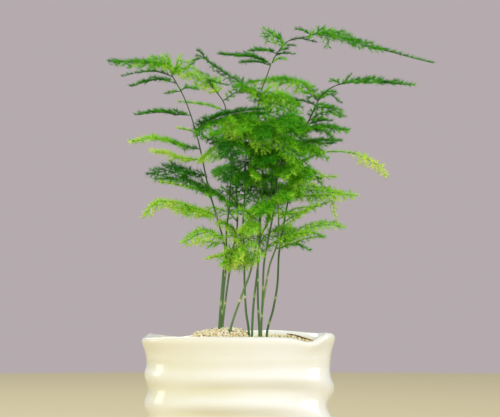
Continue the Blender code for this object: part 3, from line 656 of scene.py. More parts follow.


# STEMS

# For each stem: its cane, the heights of its joints, its tone, and its fronds. A frond has its half width, how
# far its twigs droop in degrees, how far its face is turned to the viewer in degrees, its tones at the root and
# at the tip, how much darker its ridge is, and the points of its rib. Tones run from 0 for the darkest green to
# 1 for pale yellow green. They hold the fern's own greens together with painted light and shade: fronds that
# face the light are painted paler, and fronds deep in the mass, at the back, and those showing their undersides
# are painted darker. The first frond carries the cane on
stems = {
    "leafy_stem_01": {
        "cane": [(-13, -4, 84), (-13, -4, 111), (-10, -5, 153), (-9, -6, 168), (-14, -6, 187),
                 (-20, -6, 208), (-27, -7, 240), (-35, -8, 265), (-44, -9, 282)],
        "joints": (131, 163, 189, 216, 246), "tone": 0.34,
        "fronds": [
            (13, 35, 25, 0.58, 0.32, 0.16, [(-44, -9, 282), (-47, -9, 288), (-55, -10, 290),
                                            (-68, -11, 291), (-84, -12, 291)]),
            (11, 35, 50, 0.62, 0.68, 0.10, [(-44, -9, 282), (-41, -13, 287), (-36, -17, 286),
                                           (-31, -20, 282)]),
            (11, 30, 55, 0.68, 0.60, 0.10, [(-44, -9, 282), (-45, -15, 288), (-50, -20, 290),
                                           (-57, -24, 290)]),
            (3, 0, 0, 0.30, 0.18, 0.05, [(-44, -9, 281), (-53, -16, 284), (-65, -22, 283), (-76, -26, 280)]),
            (7, 10, 0, 0.32, 0.26, 0.05, [(-41, -8, 277), (-54, -1, 280), (-72, 5, 276)]),
            (4, 10, 0, 0.45, 0.22, 0.05, [(-38, -8, 272), (-48, -12, 270)]),
            (6, 10, 0, 0.50, 0.28, 0.05, [(-38, -8, 272), (-34, -14, 274), (-28, -18, 272)]),
            (8, -10, 0, 0.34, 0.22, 0.05, [(-34, -8, 255), (-40, -11, 256), (-52, -16, 257),
                                           (-67, -21, 255)]),
            (3, 20, 0, 0.70, 0.80, 0.0, [(-28, -7, 245), (-41, -13, 247)]),
            (17, 55, 25, 0.46, 0.50, 0.24, [(-28, -7, 246), (-18, -20, 250), (1, -27, 255), (17, -31, 256)]),
            (9, 0, 10, 0.18, 0.08, 0.0, [(-28, -7, 246), (-19, -22, 252), (1, -30, 257), (17, -34, 258)]),
            (10, 20, 15, 0.36, 0.95, 0.10, [(-26, -7, 233), (-39, -13, 236), (-54, -18, 240), (-71, -23, 237)]),
            (9, 35, 10, 0.82, 0.95, 0.05, [(-25, -7, 226), (-39, -2, 228), (-49, 4, 232), (-59, 8, 233)]),
            (10, 25, 40, 0.78, 0.66, 0.10, [(-25, -7, 226), (-20, -19, 229), (-12, -33, 226)]),
            (13, 10, 25, 0.26, 0.18, 0.05, [(-22, -6, 216), (-32, -13, 217), (-44, -20, 219),
                                            (-57, -26, 215)]),
            (6, 30, 10, 0.60, 0.90, 0.05, [(-11, -4, 202), (-22, -12, 205), (-33, -20, 208),
                                           (-51, -26, 211)]),
            (13, 60, 25, 0.72, 0.95, 0.10, [(-15, -6, 189), (-26, -15, 193), (-40, -22, 197), (-53, -28, 198),
                                            (-61, -31, 189)]),
            (11, 40, 30, 0.66, 0.90, 0.10, [(-8, -6, 174), (-17, -13, 178), (-25, -19, 177),
                                            (-36, -25, 171)]),
            (7, 40, 20, 0.62, 0.86, 0.06, [(-8, -6, 171), (-15, 0, 171), (-22, 4, 172), (-28, 8, 174)]),
            (8, 40, 20, 0.70, 0.88, 0.08, [(-13, -6, 188), (-21, 0, 191), (-32, 5, 193), (-46, 8, 195)]),
            (3, 20, 0, 0.75, 0.85, 0.0, [(-9, -6, 163), (-20, -12, 161)]),
            (11, 40, 75, 0.68, 0.74, 0.14, [(-10, -23, 254), (-6, -31, 248), (-2, -36, 240), (0, -38, 233)]),
            (12, 40, 75, 0.58, 0.68, 0.14, [(-4, -26, 255), (5, -33, 250), (13, -38, 240), (18, -40, 231)]),
            (13, 40, 75, 0.46, 0.60, 0.14, [(3, -27, 257), (13, -34, 252), (24, -40, 242), (35, -43, 230),
                                            (40, -42, 221)]),
            (11, 40, 70, 0.34, 0.44, 0.14, [(15, -31, 257), (24, -36, 252), (32, -38, 244), (39, -38, 235)]),
        ],
    },
    "leafy_stem_02": {
        "cane": [(-12, 2, 84), (-12, 2, 111), (-10, 1, 138), (-8, 0, 160), (-8, 0, 178), (-6, 1, 198),
                 (-5, 1, 226), (-8, 0, 257), (-10, 0, 265), (-14, 0, 271)],
        "joints": (125, 150, 198, 238), "tone": 0.34,
        "fronds": [
            (9, 30, 50, 0.80, 0.66, 0.08, [(-13, 0, 270), (-18, -3, 275), (-26, -6, 279), (-34, -8, 282)]),
            (8, 35, 40, 0.70, 0.58, 0.08, [(-13, 0, 270), (-16, 6, 276), (-22, 10, 282), (-28, 12, 286)]),
            (3, 10, 10, 0.40, 0.26, 0.05, [(-16, -1, 273), (-20, -8, 279), (-14, -12, 277), (-7, -15, 275)]),
            (7, 20, 25, 0.52, 0.24, 0.12, [(-10, 0, 266), (-2, 6, 272), (5, 12, 275), (1, 18, 280),
                                           (-8, 20, 285), (-17, 20, 291), (-25, 18, 297), (-31, 16, 292), (-37, 14, 287)]),
            (4, 0, 30, 0.26, 0.22, 0.05, [(-23, 18, 295), (-25, 18, 299), (-28, 17, 301)]),
            (8, 30, 40, 0.50, 0.40, 0.10, [(4, 12, 275), (8, 8, 274), (13, 4, 269), (20, 0, 266)]),
            (4, 20, 0, 0.60, 0.70, 0.05, [(-8, 0, 259), (-22, 8, 264), (-40, 11, 266)]),
            (12, 30, 20, 0.45, 0.40, 0.15, [(-6, 1, 238), (-10, 26, 246), (-16, 54, 248)]),
            (13, 30, 25, 0.26, 0.50, 0.14, [(-6, 1, 198), (-12, -9, 202), (-20, -14, 206), (-35, -18, 212),
                                            (-54, -21, 213)]),
        ],
    },
    "leafy_stem_03": {
        "cane": [(-11, 8, 84), (-11, 8, 111), (-8, 8, 138), (-6, 8, 152), (-4, 8, 166), (-1, 9, 180),
                 (-1, 9, 200), (-3, 10, 223)],
        "joints": (131, 166, 190), "tone": 0.38,
        "fronds": [
            (9, 40, 40, 0.26, 0.22, 0.10, [(-3, 10, 223), (-7, 10, 235), (-14, 9, 239), (-24, 8, 242)]),
            (11, 55, 70, 0.72, 0.82, 0.10, [(-2, 8, 164), (-4, -4, 165), (-8, -12, 164), (-13, -16, 161)]),
            (14, 55, 70, 0.70, 0.80, 0.10, [(-2, 8, 164), (3, -4, 166), (8, -12, 165), (14, -18, 162)]),
            (11, 50, 60, 0.72, 0.88, 0.10, [(-2, 8, 164), (-1, -8, 165), (0, -20, 162), (1, -28, 158)]),
            (3, 20, 0, 0.74, 0.88, 0.0, [(-2, 8, 164), (-10, 0, 163), (-16, -6, 162), (-22, -10, 160)]),
            (12, 30, 20, 0.40, 0.35, 0.15, [(-2, 10, 214), (-8, 30, 221), (-14, 55, 223)]),
            (8, 30, 0, 0.50, 0.45, 0.10, [(-1, 9, 190), (-2, 28, 197), (-4, 47, 198)]),
            (8, 45, 45, 0.72, 0.82, 0.10, [(-1, 9, 178), (-5, 0, 182), (-10, -8, 184), (-14, -14, 183)]),
            (9, 45, 60, 0.70, 0.80, 0.10, [(-1, 9, 174), (4, 0, 179), (10, -6, 181), (16, -12, 179)]),
            (7, 45, 50, 0.68, 0.78, 0.08, [(-2, 9, 170), (5, 12, 174), (12, 14, 174), (19, 16, 172)]),
            (8, 40, 40, 0.52, 0.62, 0.10, [(-1, 9, 197), (-5, 6, 203), (-10, 4, 206), (-14, 2, 205)]),
            (6, 45, 30, 0.60, 0.80, 0.08, [(-1, 9, 185), (-6, 14, 191), (-13, 18, 194), (-21, 20, 195)]),
            (9, 55, 60, 0.70, 0.80, 0.10, [(-2, 8, 161), (3, -6, 160), (8, -14, 160), (13, -20, 159)]),
            (8, 55, 60, 0.68, 0.80, 0.10, [(-2, 8, 159), (-4, -8, 159), (-8, -16, 158), (-11, -22, 156)]),
        ],
    },
    "leafy_stem_04": {
        "cane": [(-6, -8, 84), (-6, -8, 110), (1, -8, 133), (8, -8, 152), (12, -8, 171), (14, -9, 185),
                 (12, -9, 206), (11, -10, 224)],
        "joints": (133, 156, 190, 212), "tone": 0.42,
        "fronds": [
            (16, 45, 20, 0.24, 0.20, 0.10, [(11, -10, 224), (6, -20, 235), (-2, -40, 235), (-8, -62, 226)]),
            (14, 45, 20, 0.34, 0.22, 0.12, [(12, -9, 219), (17, -25, 229), (20, -51, 223)]),
            (7, 40, 40, 0.40, 0.80, 0.10, [(12, -9, 207), (11, -23, 217), (10, -39, 213)]),
            (8, 30, 20, 0.24, 0.18, 0.10, [(12, -9, 212), (20, -19, 215), (28, -25, 214)]),
            (11, 35, 20, 0.52, 0.44, 0.12, [(13, -9, 190), (16, -25, 196), (17, -47, 190)]),
            (11, 45, 60, 0.22, 0.26, 0.08, [(10, -10, 224), (3, -22, 221), (-4, -29, 217), (-8, -31, 211)]),
            (10, 35, 50, 0.28, 0.36, 0.10, [(12, -9, 196), (7, -2, 204), (1, 4, 208), (-6, 8, 208)]),
            (7, 40, 60, 0.60, 0.74, 0.08, [(11, -9, 185), (7, -16, 190), (2, -22, 192), (-3, -26, 190)]),
        ],
    },
    "leafy_stem_05": {
        "cane": [(7, 0, 84), (7, 0, 110), (5, 0, 126), (4, 0, 146), (4, 0, 163), (3, 1, 183), (4, 3, 200),
                 (5, 4, 226), (5, 3, 239)],
        "joints": (135, 177, 209), "tone": 0.36,
        "fronds": [
            (16, 50, 20, 0.66, 0.60, 0.18, [(5, 3, 239), (3, -6, 248), (2, -24, 251), (4, -48, 243)]),
            (9, 35, 20, 0.74, 0.66, 0.10, [(3, 1, 177), (7, -17, 183), (9, -39, 177)]),
            (12, 30, 20, 0.35, 0.30, 0.12, [(4, 4, 209), (3, 31, 218), (1, 59, 216)]),
            (12, 45, 60, 0.36, 0.46, 0.14, [(5, 3, 239), (12, -12, 235), (18, -22, 227), (23, -28, 217)]),
            (11, 45, 70, 0.56, 0.62, 0.12, [(4, 1, 185), (9, -8, 192), (15, -14, 195), (21, -20, 193)]),
            (8, 45, 50, 0.68, 0.80, 0.08, [(3, 0, 168), (-1, -6, 174), (-5, -12, 176), (-10, -16, 174)]),
            (10, 35, 60, 0.32, 0.36, 0.10, [(4, 3, 200), (8, 10, 207), (13, 16, 210), (19, 20, 209)]),
            (11, 45, 70, 0.34, 0.30, 0.10, [(5, 1, 212), (10, -8, 218), (16, -14, 221), (22, -18, 220)]),
        ],
    },
    "leafy_stem_06": {
        "cane": [(9, -5, 84), (9, -5, 110), (10, -4, 130), (12, -4, 147), (14, -3, 166), (15, -2, 176),
                 (20, -2, 186), (22, -2, 206), (22, -1, 226), (19, -4, 239)],
        "joints": (136, 166, 196, 220), "tone": 0.30,
        "fronds": [
            (15, 45, 20, 0.44, 0.36, 0.16, [(19, -4, 239), (15, -15, 246), (14, -36, 247), (17, -57, 238)]),
            (13, 45, 20, 0.36, 0.30, 0.12, [(22, -1, 220), (20, -17, 231), (23, -41, 227)]),
            (10, 30, 20, 0.35, 0.30, 0.12, [(22, -2, 196), (22, 24, 206), (20, 50, 204)]),
            (12, 45, 70, 0.34, 0.48, 0.14, [(19, -4, 239), (25, -16, 232), (31, -24, 222), (35, -27, 212)]),
            (10, 45, 70, 0.54, 0.64, 0.12, [(16, -2, 183), (21, -8, 191), (26, -14, 194), (31, -18, 191)]),
            (6, 40, 40, 0.52, 0.70, 0.08, [(13, -4, 170), (18, 4, 176), (26, 10, 179), (35, 14, 180)]),
            (5, 40, 30, 0.60, 0.78, 0.06, [(14, -4, 163), (20, 0, 168), (28, 4, 172), (37, 6, 173)]),
        ],
    },
    "leafy_stem_07": {
        "cane": [(14, 3, 84), (14, 3, 110), (13, 3, 133), (13, 5, 158), (14, 6, 173), (15, 7, 190),
                 (16, 8, 206), (16, 9, 226), (14, 9, 246), (13, 9, 260), (15, 9, 272), (19, 8, 283),
                 (22, 8, 291), (27, 8, 300), (34, 8, 307), (44, 8, 309)],
        "joints": (125, 146, 168, 206, 240, 269, 291), "tone": 0.32,
        "fronds": [
            (12, 15, 25, 0.50, 0.30, 0.10, [(45, 8, 310), (56, 7, 312), (71, 5, 308), (85, 3, 303),
                                            (97, 2, 300)]),
            (2.5, -20, 0, 0.34, 0.26, 0.0, [(88, 3, 303), (101, 2, 299), (115, 1, 295), (130, 0, 291)]),
            (4, 10, 20, 0.34, 0.26, 0.05, [(49, 8, 310), (44, 4, 313), (38, 1, 314)]),
            (3, 10, 0, 0.22, 0.15, 0.05, [(34, 8, 307), (42, 16, 309), (52, 20, 307)]),
            (7, 20, 40, 0.44, 0.38, 0.05, [(56, 6, 311), (60, 0, 307), (60, -2, 302)]),
            (10, 25, 55, 0.56, 0.42, 0.14, [(31, 8, 304), (28, 3, 307), (22, -2, 309), (17, -6, 308)]),
            (3, 10, 0, 0.28, 0.22, 0.05, [(30, 8, 304), (38, 14, 304)]),
            (7, 10, 10, 0.36, 0.26, 0.05, [(26, 8, 298), (18, 4, 300), (8, 0, 299)]),
            (4, 10, 0, 0.34, 0.26, 0.05, [(27, 8, 300), (33, 14, 302)]),
            (3, 10, 0, 0.26, 0.22, 0.05, [(25, 8, 297), (31, 3, 298), (37, 0, 297)]),
            (9, 10, 10, 0.28, 0.18, 0.05, [(22, 8, 291), (11, 4, 295), (1, 2, 296), (-12, 0, 297)]),
            (6, 10, 0, 0.32, 0.24, 0.05, [(22, 8, 290), (13, 14, 293), (1, 20, 293)]),
            (4, 20, 0, 0.60, 0.50, 0.05, [(22, 8, 292), (27, 12, 295), (32, 16, 295)]),
            (16, 50, 30, 0.66, 0.52, 0.18, [(14, 9, 269), (21, 2, 269), (31, -6, 266), (39, -12, 261)]),
            (8, 35, 30, 0.70, 0.62, 0.10, [(14, 9, 269), (8, 2, 272), (3, -3, 273)]),
            (14, 30, 20, 0.50, 0.48, 0.15, [(14, 9, 240), (10, 30, 248), (4, 62, 252)]),
            (12, 30, 20, 0.42, 0.38, 0.15, [(16, 8, 206), (17, 30, 215), (18, 58, 217)]),
            (9, 35, 45, 0.74, 0.56, 0.12, [(14, 9, 271), (20, 0, 272), (28, -8, 268), (38, -14, 263)]),
            (10, 40, 45, 0.70, 0.50, 0.12, [(14, 9, 267), (21, -4, 265), (30, -14, 261), (40, -20, 256)]),
            (7, 30, 30, 0.60, 0.44, 0.10, [(14, 9, 272), (8, 2, 274), (2, -4, 275), (-3, -8, 274)]),
        ],
    },
    "leafy_stem_08": {
        "cane": [(15, 9, 84), (15, 9, 110), (16, 9, 127), (18, 9, 140), (21, 10, 156), (26, 12, 171),
                 (27, 13, 188), (26, 14, 206), (26, 15, 222), (28, 22, 236)],
        "joints": (124, 133, 141, 148, 172, 204), "tone": 0.60,
        "fronds": [
            (14, 30, 20, 0.40, 0.36, 0.15, [(28, 22, 236), (31, 38, 243), (34, 62, 242)]),
            (12, 30, 20, 0.40, 0.36, 0.15, [(26, 14, 204), (33, 32, 209), (40, 57, 204)]),
            (9, 30, 20, 0.60, 0.62, 0.12, [(26, 12, 172), (32, 28, 180), (36, 47, 182)]),
            (4, 30, 0, 0.62, 0.80, 0.05, [(27, 13, 187), (38, 20, 194), (54, 24, 196)]),
            (5, 40, 20, 0.60, 0.82, 0.06, [(29, 12, 172), (36, 16, 178), (46, 20, 183), (57, 24, 186)]),
            (4, 40, 20, 0.56, 0.66, 0.06, [(28, 11, 166), (35, 16, 170), (46, 22, 174), (59, 26, 176)]),
            (11, 45, 70, 0.46, 0.60, 0.12, [(29, 14, 198), (33, 4, 206), (38, -4, 214), (41, -8, 221)]),
            (9, 45, 60, 0.62, 0.80, 0.10, [(29, 14, 203), (36, 0, 210), (42, -8, 215), (47, -12, 213)]),
        ],
    },
    "leafy_stem_09": {
        "cane": [(15, -4, 84), (15, -4, 110), (16, -4, 133), (17, -5, 157), (20, -6, 174), (23, -8, 190),
                 (25, -9, 206), (25, -9, 226), (27, -11, 240)],
        "joints": (123, 141, 165, 198), "tone": 0.34,
        "fronds": [
            (15, 45, 20, 0.46, 0.40, 0.15, [(27, -11, 240), (29, -21, 250), (30, -39, 252), (32, -59, 244)]),
            (13, 45, 20, 0.38, 0.66, 0.14, [(25, -9, 212), (31, -23, 221), (34, -47, 215)]),
            (11, 45, 20, 0.42, 0.56, 0.14, [(25, -9, 198), (30, -24, 204), (32, -43, 199)]),
            (12, 45, 70, 0.40, 0.58, 0.14, [(27, -11, 240), (35, -20, 233), (40, -26, 227), (44, -28, 218)]),
            (12, 45, 70, 0.40, 0.66, 0.14, [(26, -9, 229), (33, -20, 222), (38, -27, 213), (40, -29, 204)]),
            (6, 45, 30, 0.62, 0.80, 0.06, [(24, -8, 191), (33, -14, 190), (43, -20, 192), (53, -24, 197)]),
            (5, 45, 30, 0.64, 0.84, 0.06, [(21, -6, 178), (30, -12, 182), (40, -18, 189), (48, -22, 195)]),
            (5, 40, 30, 0.56, 0.74, 0.06, [(19, -5, 169), (27, -12, 173), (38, -18, 177), (48, -22, 178)]),
        ],
    },
    "leafy_stem_10": {
        "cane": [(19, 5, 84), (19, 5, 110), (23, 4, 126), (26, 4, 143), (27, 3, 163), (29, 2, 176),
                 (32, 2, 193), (35, 2, 210), (39, 2, 230), (44, 2, 246), (50, 2, 259), (54, 2, 267),
                 (61, 1, 274), (67, 0, 277)],
        "joints": (118, 134, 169, 188, 215, 240, 262), "tone": 0.26,
        "fronds": [
            (9, 5, 15, 0.40, 0.30, 0.08, [(66, 0, 277), (76, -2, 278), (94, -4, 278), (116, -6, 276)]),
            (3, 0, 20, 0.38, 0.32, 0.05, [(70, -1, 278), (73, -4, 281), (75, -6, 283)]),
            (3, 0, 20, 0.36, 0.30, 0.05, [(82, -3, 278), (86, -6, 280), (91, -8, 281)]),
            (4, 10, 10, 0.44, 0.36, 0.05, [(68, 0, 277), (65, -5, 279), (61, -9, 278)]),
            (12, 50, 20, 0.52, 0.72, 0.22, [(54, 2, 267), (49, 6, 272), (44, 10, 277), (37, 14, 281),
                                            (24, 18, 282), (8, 21, 280)]),
            (5, 15, 10, 0.36, 0.32, 0.05, [(53, 2, 265), (57, -6, 271), (65, -11, 271)]),
            (5, 15, 10, 0.34, 0.28, 0.05, [(54, 2, 267), (61, 9, 271), (68, 14, 266)]),
            (8, 25, 20, 0.40, 0.34, 0.08, [(51, 2, 262), (62, -6, 260), (69, -10, 255)]),
            (3, 10, 0, 0.50, 0.45, 0.05, [(53, 2, 266), (48, -4, 270), (42, -7, 271)]),
            (3, 10, 0, 0.28, 0.16, 0.05, [(52, 2, 263), (45, -5, 265), (38, -9, 266)]),
            (5, 20, 0, 0.55, 0.70, 0.05, [(47, 2, 253), (53, 6, 254), (59, 8, 254)]),
            (4, 10, 0, 0.28, 0.16, 0.05, [(46, 2, 250), (54, -7, 252), (62, -11, 252)]),
            (10, 30, 25, 0.38, 0.36, 0.10, [(45, 2, 249), (58, -3, 248), (72, -7, 246)]),
            (8, 15, 10, 0.34, 0.26, 0.08, [(41, 2, 239), (54, 10, 240), (69, 14, 240)]),
            (2.5, 30, 0, 0.44, 0.74, 0.0, [(38, 2, 223), (45, -4, 227), (58, -12, 231),
                                           (70, -16, 231), (77, -18, 230)]),
            (8, 60, 30, 0.84, 0.97, 0.0, [(73, -17, 230), (81, -20, 228), (90, -22, 223), (97, -25, 215)]),
            (12, 45, 35, 0.62, 0.82, 0.12, [(33, 2, 200), (41, -6, 206), (58, -12, 205), (76, -17, 202)]),
            (4, 30, 0, 0.30, 0.24, 0.05, [(37, 2, 222), (48, 8, 220), (58, 14, 208)]),
            (3, 30, 0, 0.80, 0.90, 0.0, [(63, -13, 204), (63, -15, 193), (65, -16, 183)]),
            (9, 40, 30, 0.62, 0.78, 0.10, [(28, 3, 170), (34, -5, 174), (48, -12, 181), (61, -17, 183),
                                           (69, -20, 181)]),
            (6, 30, 10, 0.50, 0.46, 0.05, [(28, 2, 172), (40, 11, 177), (50, 16, 178), (57, 20, 175)]),
            (5, 30, 10, 0.44, 0.40, 0.05, [(28, 3, 168), (38, -2, 170), (48, -5, 166)]),
            (13, 45, 20, 0.44, 0.38, 0.14, [(42, 2, 240), (38, -14, 250), (34, -41, 243)]),
            (11, 45, 20, 0.42, 0.60, 0.14, [(36, 2, 215), (42, -15, 218), (44, -37, 212)]),
            (13, 30, 20, 0.44, 0.40, 0.15, [(39, 2, 231), (46, 27, 237), (52, 55, 237)]),
            (6, 25, 20, 0.40, 0.34, 0.08, [(47, 2, 252), (53, 8, 257), (61, 12, 259), (69, 16, 256)]),
            (7, 25, 20, 0.42, 0.38, 0.08, [(46, 2, 248), (41, -6, 253), (36, -12, 254), (30, -16, 253)]),
            (7, 30, 20, 0.38, 0.34, 0.08, [(44, 2, 245), (49, -8, 247), (56, -14, 245), (63, -18, 239)]),
            (6, 30, 20, 0.44, 0.38, 0.08, [(44, 2, 242), (40, 10, 247), (35, 16, 248), (29, 20, 246)]),
            (7, 30, 20, 0.44, 0.40, 0.08, [(42, 2, 236), (49, 10, 239), (56, 14, 238), (64, 18, 239)]),
            (5, 25, 20, 0.46, 0.38, 0.08, [(48, 2, 255), (51, -5, 261), (54, -9, 263), (59, -12, 261)]),
            (7, 35, 30, 0.50, 0.62, 0.08, [(40, 2, 232), (46, -8, 233), (53, -14, 230), (59, -18, 226)]),
            (6, 35, 30, 0.66, 0.84, 0.06, [(36, 2, 206), (44, 8, 211), (55, 14, 215), (66, 18, 216)]),
            (6, 40, 30, 0.66, 0.88, 0.06, [(34, 2, 201), (44, -6, 202), (55, -12, 202), (68, -16, 203)]),
            (6, 40, 30, 0.60, 0.80, 0.06, [(35, 2, 208), (42, -8, 215), (49, -14, 218), (56, -18, 215)]),
            (5, 40, 30, 0.60, 0.78, 0.06, [(32, 3, 185), (41, -4, 191), (51, -10, 195), (62, -14, 199)]),
        ],
    },
}

growth = {
    # height and radius of a cane
    "caneRadius": ((100, 0.82), (150, 0.68), (210, 0.52), (270, 0.38), (320, 0.34)),
    "caneTone": ((100, -0.02), (170, -0.04), (215, -0.16), (320, -0.20)),
    "paintedLeftHighlight": 0.22,                # painted highlight: how much paler a cane is at the left
    "caneSides": 10,
    "jointSwell": 0.35,              # how much thicker a cane is at a joint
    "jointLength": 0.9,
    "ribRadius": (0.38, 0.12),
    "ribSides": 5,
    "twigRadius": (0.17, 0.08),
    "twigGap": 2.3,
    "twigAngle": 52,
    "sprigFrom": 7.0,                # fronds wider than this have sprigs on their twigs
    "sprigGap": 2.4,
    "sprigLength": 4.4,
    "needleLength": 5.6,
    "needleRadius": 0.19,
    "whorlGap": 1.5,
    "whorl": 6,                      # needles in a whorl
    "needleLean": (20, 58),
    "seed": 12,
}


# The width of a frond at each share of its rib: full near the root, then a taper
def outline(share):
    return np.minimum(1, 0.3 + share * 2.6) * (1.06 - share) ** 0.55


# The frond's plane at this heading, turned so that its upper face shows more to the viewer
def planeAt(heading, turned):
    side = np.cross(heading, (0, 0, 1.0))
    side = unit(side) if np.linalg.norm(side) > 0.05 else np.array((1.0, 0, 0))
    lift = np.cross(side, heading)
    roll = math.radians(turned) * (1 if heading[0] < 0 else -1)
    return side * math.cos(roll) + lift * math.sin(roll), lift * math.cos(roll) - side * math.sin(roll)


# One frond: its needles are gathered here and made together at the end
class Frond:
    def __init__(self, draw, plan, line, canes, leaves):
        self.halfWidth, self.droop, self.turned, self.rootTone, self.tipTone, self.shade, _ = plan
        self.draw = draw
        self.line = line
        self.canes = canes
        self.leaves = leaves
        self.needles = []
        self.size = min(1, 0.6 + self.halfWidth * 0.034)

    def toneAt(self, share):
        return self.rootTone + (self.tipTone - self.rootTone) * share

    def addWhorls(self, line, level, lift, tone, size, away=0):
        draw = self.draw
        count = max(1, round(line.length / growth["whorlGap"]))
        shares = np.repeat((np.arange(count) + draw.uniform(0.2, 0.8, count)) / count, growth["whorl"])
        turn = np.radians(draw.normal(90, 55 + self.droop, len(shares)))[:, None]
        lean = np.radians(draw.uniform(*growth["needleLean"], len(shares)))[:, None]
        heading = line.heading(shares)
        outward = level * np.cos(turn) + lift * np.sin(turn)
        lengths = growth["needleLength"] * self.size * size * draw.uniform(0.6, 1.1, len(shares))
        lengths = lengths * (1 - 0.35 * away**2)
        self.needles.append((line.at(shares), heading * np.cos(lean) + outward * np.sin(lean), lengths,
                             tone + draw.normal(0, 0.11, len(shares))))

    def addTwig(self, share, side):
        draw = self.draw
        heading = self.line.heading(share)
        root = self.line.at(share)
        level, lift = planeAt(heading, self.turned)
        angle = math.radians(growth["twigAngle"] * draw.uniform(0.85, 1.1))
        length = self.halfWidth * outline(share) / math.sin(angle) * draw.uniform(0.8, 1.08)
        ahead = unit(heading * math.cos(angle) + level * side * math.sin(angle) + lift * draw.normal(0.08, 0.08))
        droop = math.radians(self.droop * draw.uniform(0.7, 1.2))
        bend = root + ahead * length * 0.45
        end = ahead * math.cos(droop) - np.array((0, 0, math.sin(droop)))
        tip = bend + unit(end + heading * 0.2) * length * 0.55
        t = np.linspace(0, 1, 5)[:, None]
        twig = Line((1 - t) ** 2 * root + 2 * t * (1 - t) * bend + t**2 * tip)
        tone = self.toneAt(share) + draw.normal(0, 0.08)
        addTube(self.leaves, twig, np.interp(twig.shares, (0, 1), growth["twigRadius"]), 3, tone - 0.1)
        across = unit(np.cross(ahead, lift))
        self.addWhorls(twig, across, lift, tone, 0.95, share)
        if self.halfWidth < growth["sprigFrom"]:
            return
        count = int(length / growth["sprigGap"])
        for i in range(1, count):
            at = (i + draw.uniform(-0.2, 0.2)) / count
            lean = math.radians(growth["twigAngle"] * draw.uniform(0.8, 1.1))
            way = twig.heading(at) * math.cos(lean) + across * (-1) ** i * math.sin(lean)
            way = unit(way + lift * draw.normal(0, 0.15))
            reach = growth["sprigLength"] * (1.15 - at) * draw.uniform(0.75, 1.1)
            sprig = Line(np.stack([twig.at(at), twig.at(at) + way * reach]))
            self.needles.append((twig.at(at)[None], way[None], np.array([reach]), np.array([tone - 0.08])))
            self.addWhorls(sprig, unit(np.cross(way, lift)), lift, tone + draw.normal(0, 0.03), 0.85, share)

    def grow(self):
        radii = np.interp(self.line.shares, (0, 1), growth["ribRadius"])
        mean = self.toneAt(0.5)
        addTube(self.canes, self.line, radii, growth["ribSides"], 0.08 + 0.5 * max(0, mean - 0.3))
        count = max(4, round(self.line.length / growth["twigGap"]))
        for i in range(count):
            self.addTwig((i + 0.6 + self.draw.uniform(-0.25, 0.25)) / count, (-1) ** i)
        middle = Line(self.line.at(np.linspace(0.12, 1, 12)))
        level, lift = planeAt(self.line.heading(0.5), self.turned)
        self.addWhorls(middle, level, lift, mean, 1.0, 0.5)
        roots, headings, lengths, tones = (np.concatenate(part) for part in zip(*self.needles))
        headings = unit(headings)
        middles = roots + headings * lengths[:, None] * 0.5
        spine = self.line.points[np.argmin(np.linalg.norm(
            middles[:, None, :2] - self.line.points[None, :, :2], axis=2), axis=1), 2]
        above = np.clip(1 + (middles[:, 2] - spine) / 4, 0, 1)
        tones = np.clip(tones - self.shade * above + self.shade * 0.3, 0.03, 0.99)
        addNeedles(self.leaves, roots, headings, lengths, growth["needleRadius"], tones)


def makeStem(name, plan, number):
    draw = np.random.default_rng(growth["seed"] + number)
    canes, leaves = Heap(), Heap()
    cane = Line(plan["cane"], 1.6)
    height = cane.points[:, 2]
    radii = np.interp(height, *zip(*growth["caneRadius"]))
    nearJoint = np.zeros(len(height))
    for joint in plan["joints"]:
        nearJoint = np.maximum(nearJoint, np.exp(-(((height - joint) / growth["jointLength"]) ** 2)))
    tones = plan["tone"] + np.interp(height, *zip(*growth["caneTone"]))
    addTube(canes, cane, radii * (1 + growth["jointSwell"] * nearJoint), growth["caneSides"],
            tones + nearJoint * (0.88 - tones), growth["paintedLeftHighlight"])
    lines = [cane]
    for frondPlan in plan["fronds"]:
        points = frondPlan[-1]
        start = np.array(points[0], float)
        start = min((line.nearest(start) for line in lines), key=lambda place: np.linalg.norm(place - start))
        rib = Line([start, *points[1:]], 2.0)
        lines.append(rib)
        Frond(draw, frondPlan, rib, canes, leaves).grow()
    total = 0
    for heap, pieceName, material, mapped in ((canes, "cane", "cane", False), (leaves, "fronds", "foliage", True)):
        piece = heap.build(name.replace("leafy_stem_", pieceName), looks[material], mapped=mapped)
        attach(piece, "root")
        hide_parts(name)
        total += len(piece.data.polygons)
    return total


feet = np.array([plan["cane"][0][:2] for plan in stems.values()], float)
print("gravel made:", makeGravel(feet), "faces")
for number, (stemName, stemPlan) in enumerate(stems.items()):
    print(stemName, "made:", makeStem(stemName, stemPlan, number), "faces")
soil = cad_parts["soil"]
soil.data.materials.clear()
soil.data.materials.append(looks["soil"])


# STAGE

studio = {
    "backdrop": (0.462, 0.407, 0.423),
    "fill": (0.55, 0.56, 0.54),  # what the backdrop casts on the plant
    "floor": (0.63, 0.54, 0.33),
    "floorRadius": 1.67,
    "edge": 0.10,                # how softly the floor ends
    "lights": (
        # name, place, width, height, watts, colour
        ("windowRight", (1.0, -1.1, 0.8), 1.0, 1.0, 11.8, (1.0, 0.985, 0.96)),
        ("windowLeft", (-1.1, -1.0, 0.55), 0.9, 1.0, 8.6, (1.0, 0.99, 0.97)),
        ("skyBehind", (-0.3, 0.9, 1.3), 0.9, 0.9, 9.0, (1.0, 1.0, 0.96)),
    ),
    "lookAt": (0.0, 0.0, 0.17),
}


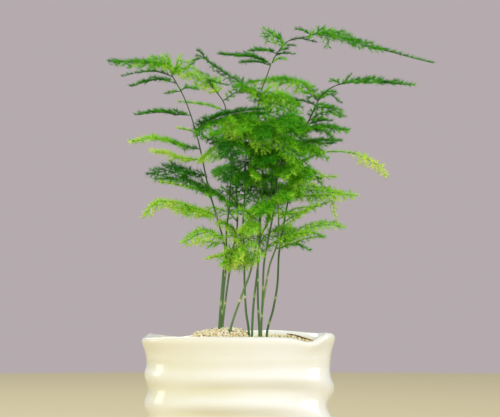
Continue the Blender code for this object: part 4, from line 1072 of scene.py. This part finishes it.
def makeStage():
    world = bpy.data.worlds.new("studio")
    bpy.context.scene.world = world
    world.use_nodes = True
    tree = world.node_tree
    seen = tree.nodes["Background"]
    seen.inputs["Color"].default_value = (*studio["backdrop"], 1)
    fill = tree.nodes.new("ShaderNodeBackground")
    fill.inputs["Color"].default_value = (*studio["fill"], 1)
    mix = tree.nodes.new("ShaderNodeMixShader")
    rays = tree.nodes.new("ShaderNodeLightPath")
    tree.links.new(rays.outputs["Is Camera Ray"], mix.inputs[0])
    tree.links.new(fill.outputs[0], mix.inputs[1])
    tree.links.new(seen.outputs[0], mix.inputs[2])
    tree.links.new(mix.outputs[0], tree.nodes["World Output"].inputs["Surface"])
    for name, place, width, height, watts, colour in studio["lights"]:
        data = bpy.data.lights.new(name, "AREA")
        data.shape = "RECTANGLE"
        data.size, data.size_y = width, height
        data.energy = watts
        data.color = colour
        light = bpy.data.objects.new(name, data)
        light.visible_camera = False
        bpy.context.scene.collection.objects.link(light)
        light.location = place
        light.rotation_euler = (Vector(studio["lookAt"]) - Vector(place)).to_track_quat("-Z", "Y").to_euler()

    bm = bmesh.new()
    bmesh.ops.create_circle(bm, cap_ends=True, segments=128, radius=studio["floorRadius"])
    mesh = bpy.data.meshes.new("floor")
    bm.to_mesh(mesh)
    bm.free()
    look = Look("paleFloor", {"Roughness": 0.6})
    grain = look.noise(9, 3)
    colour = look.mix(grain * 0.25, (*studio["floor"], 1), (*[c * 0.93 for c in studio["floor"]], 1))
    look.feed(look.shader, {"Base Color": colour})
    place = look.node("TexCoord", {}, {}, 3)
    away = look.node("VectorMath", {"operation": "LENGTH"}, {0: place}, 1)
    fade = look.step(away, studio["floorRadius"] - studio["edge"], studio["floorRadius"])
    clear = look.node("BsdfTransparent", {}, {})
    shown = look.node("MixShader", {}, {0: fade, 2: clear})
    look.tree.links.new(look.shader.outputs[0], shown.socket.node.inputs[1])
    look.tree.links.new(shown.socket, look.tree.nodes["Material Output"].inputs["Surface"])
    mesh.materials.append(look.material)
    floor = addPiece("floor", mesh)
    floor.location.z = -0.0002


makeStage()
bpy.context.scene.view_settings.view_transform = "Standard"
print("stage set")

bpy.context.view_layer.update()
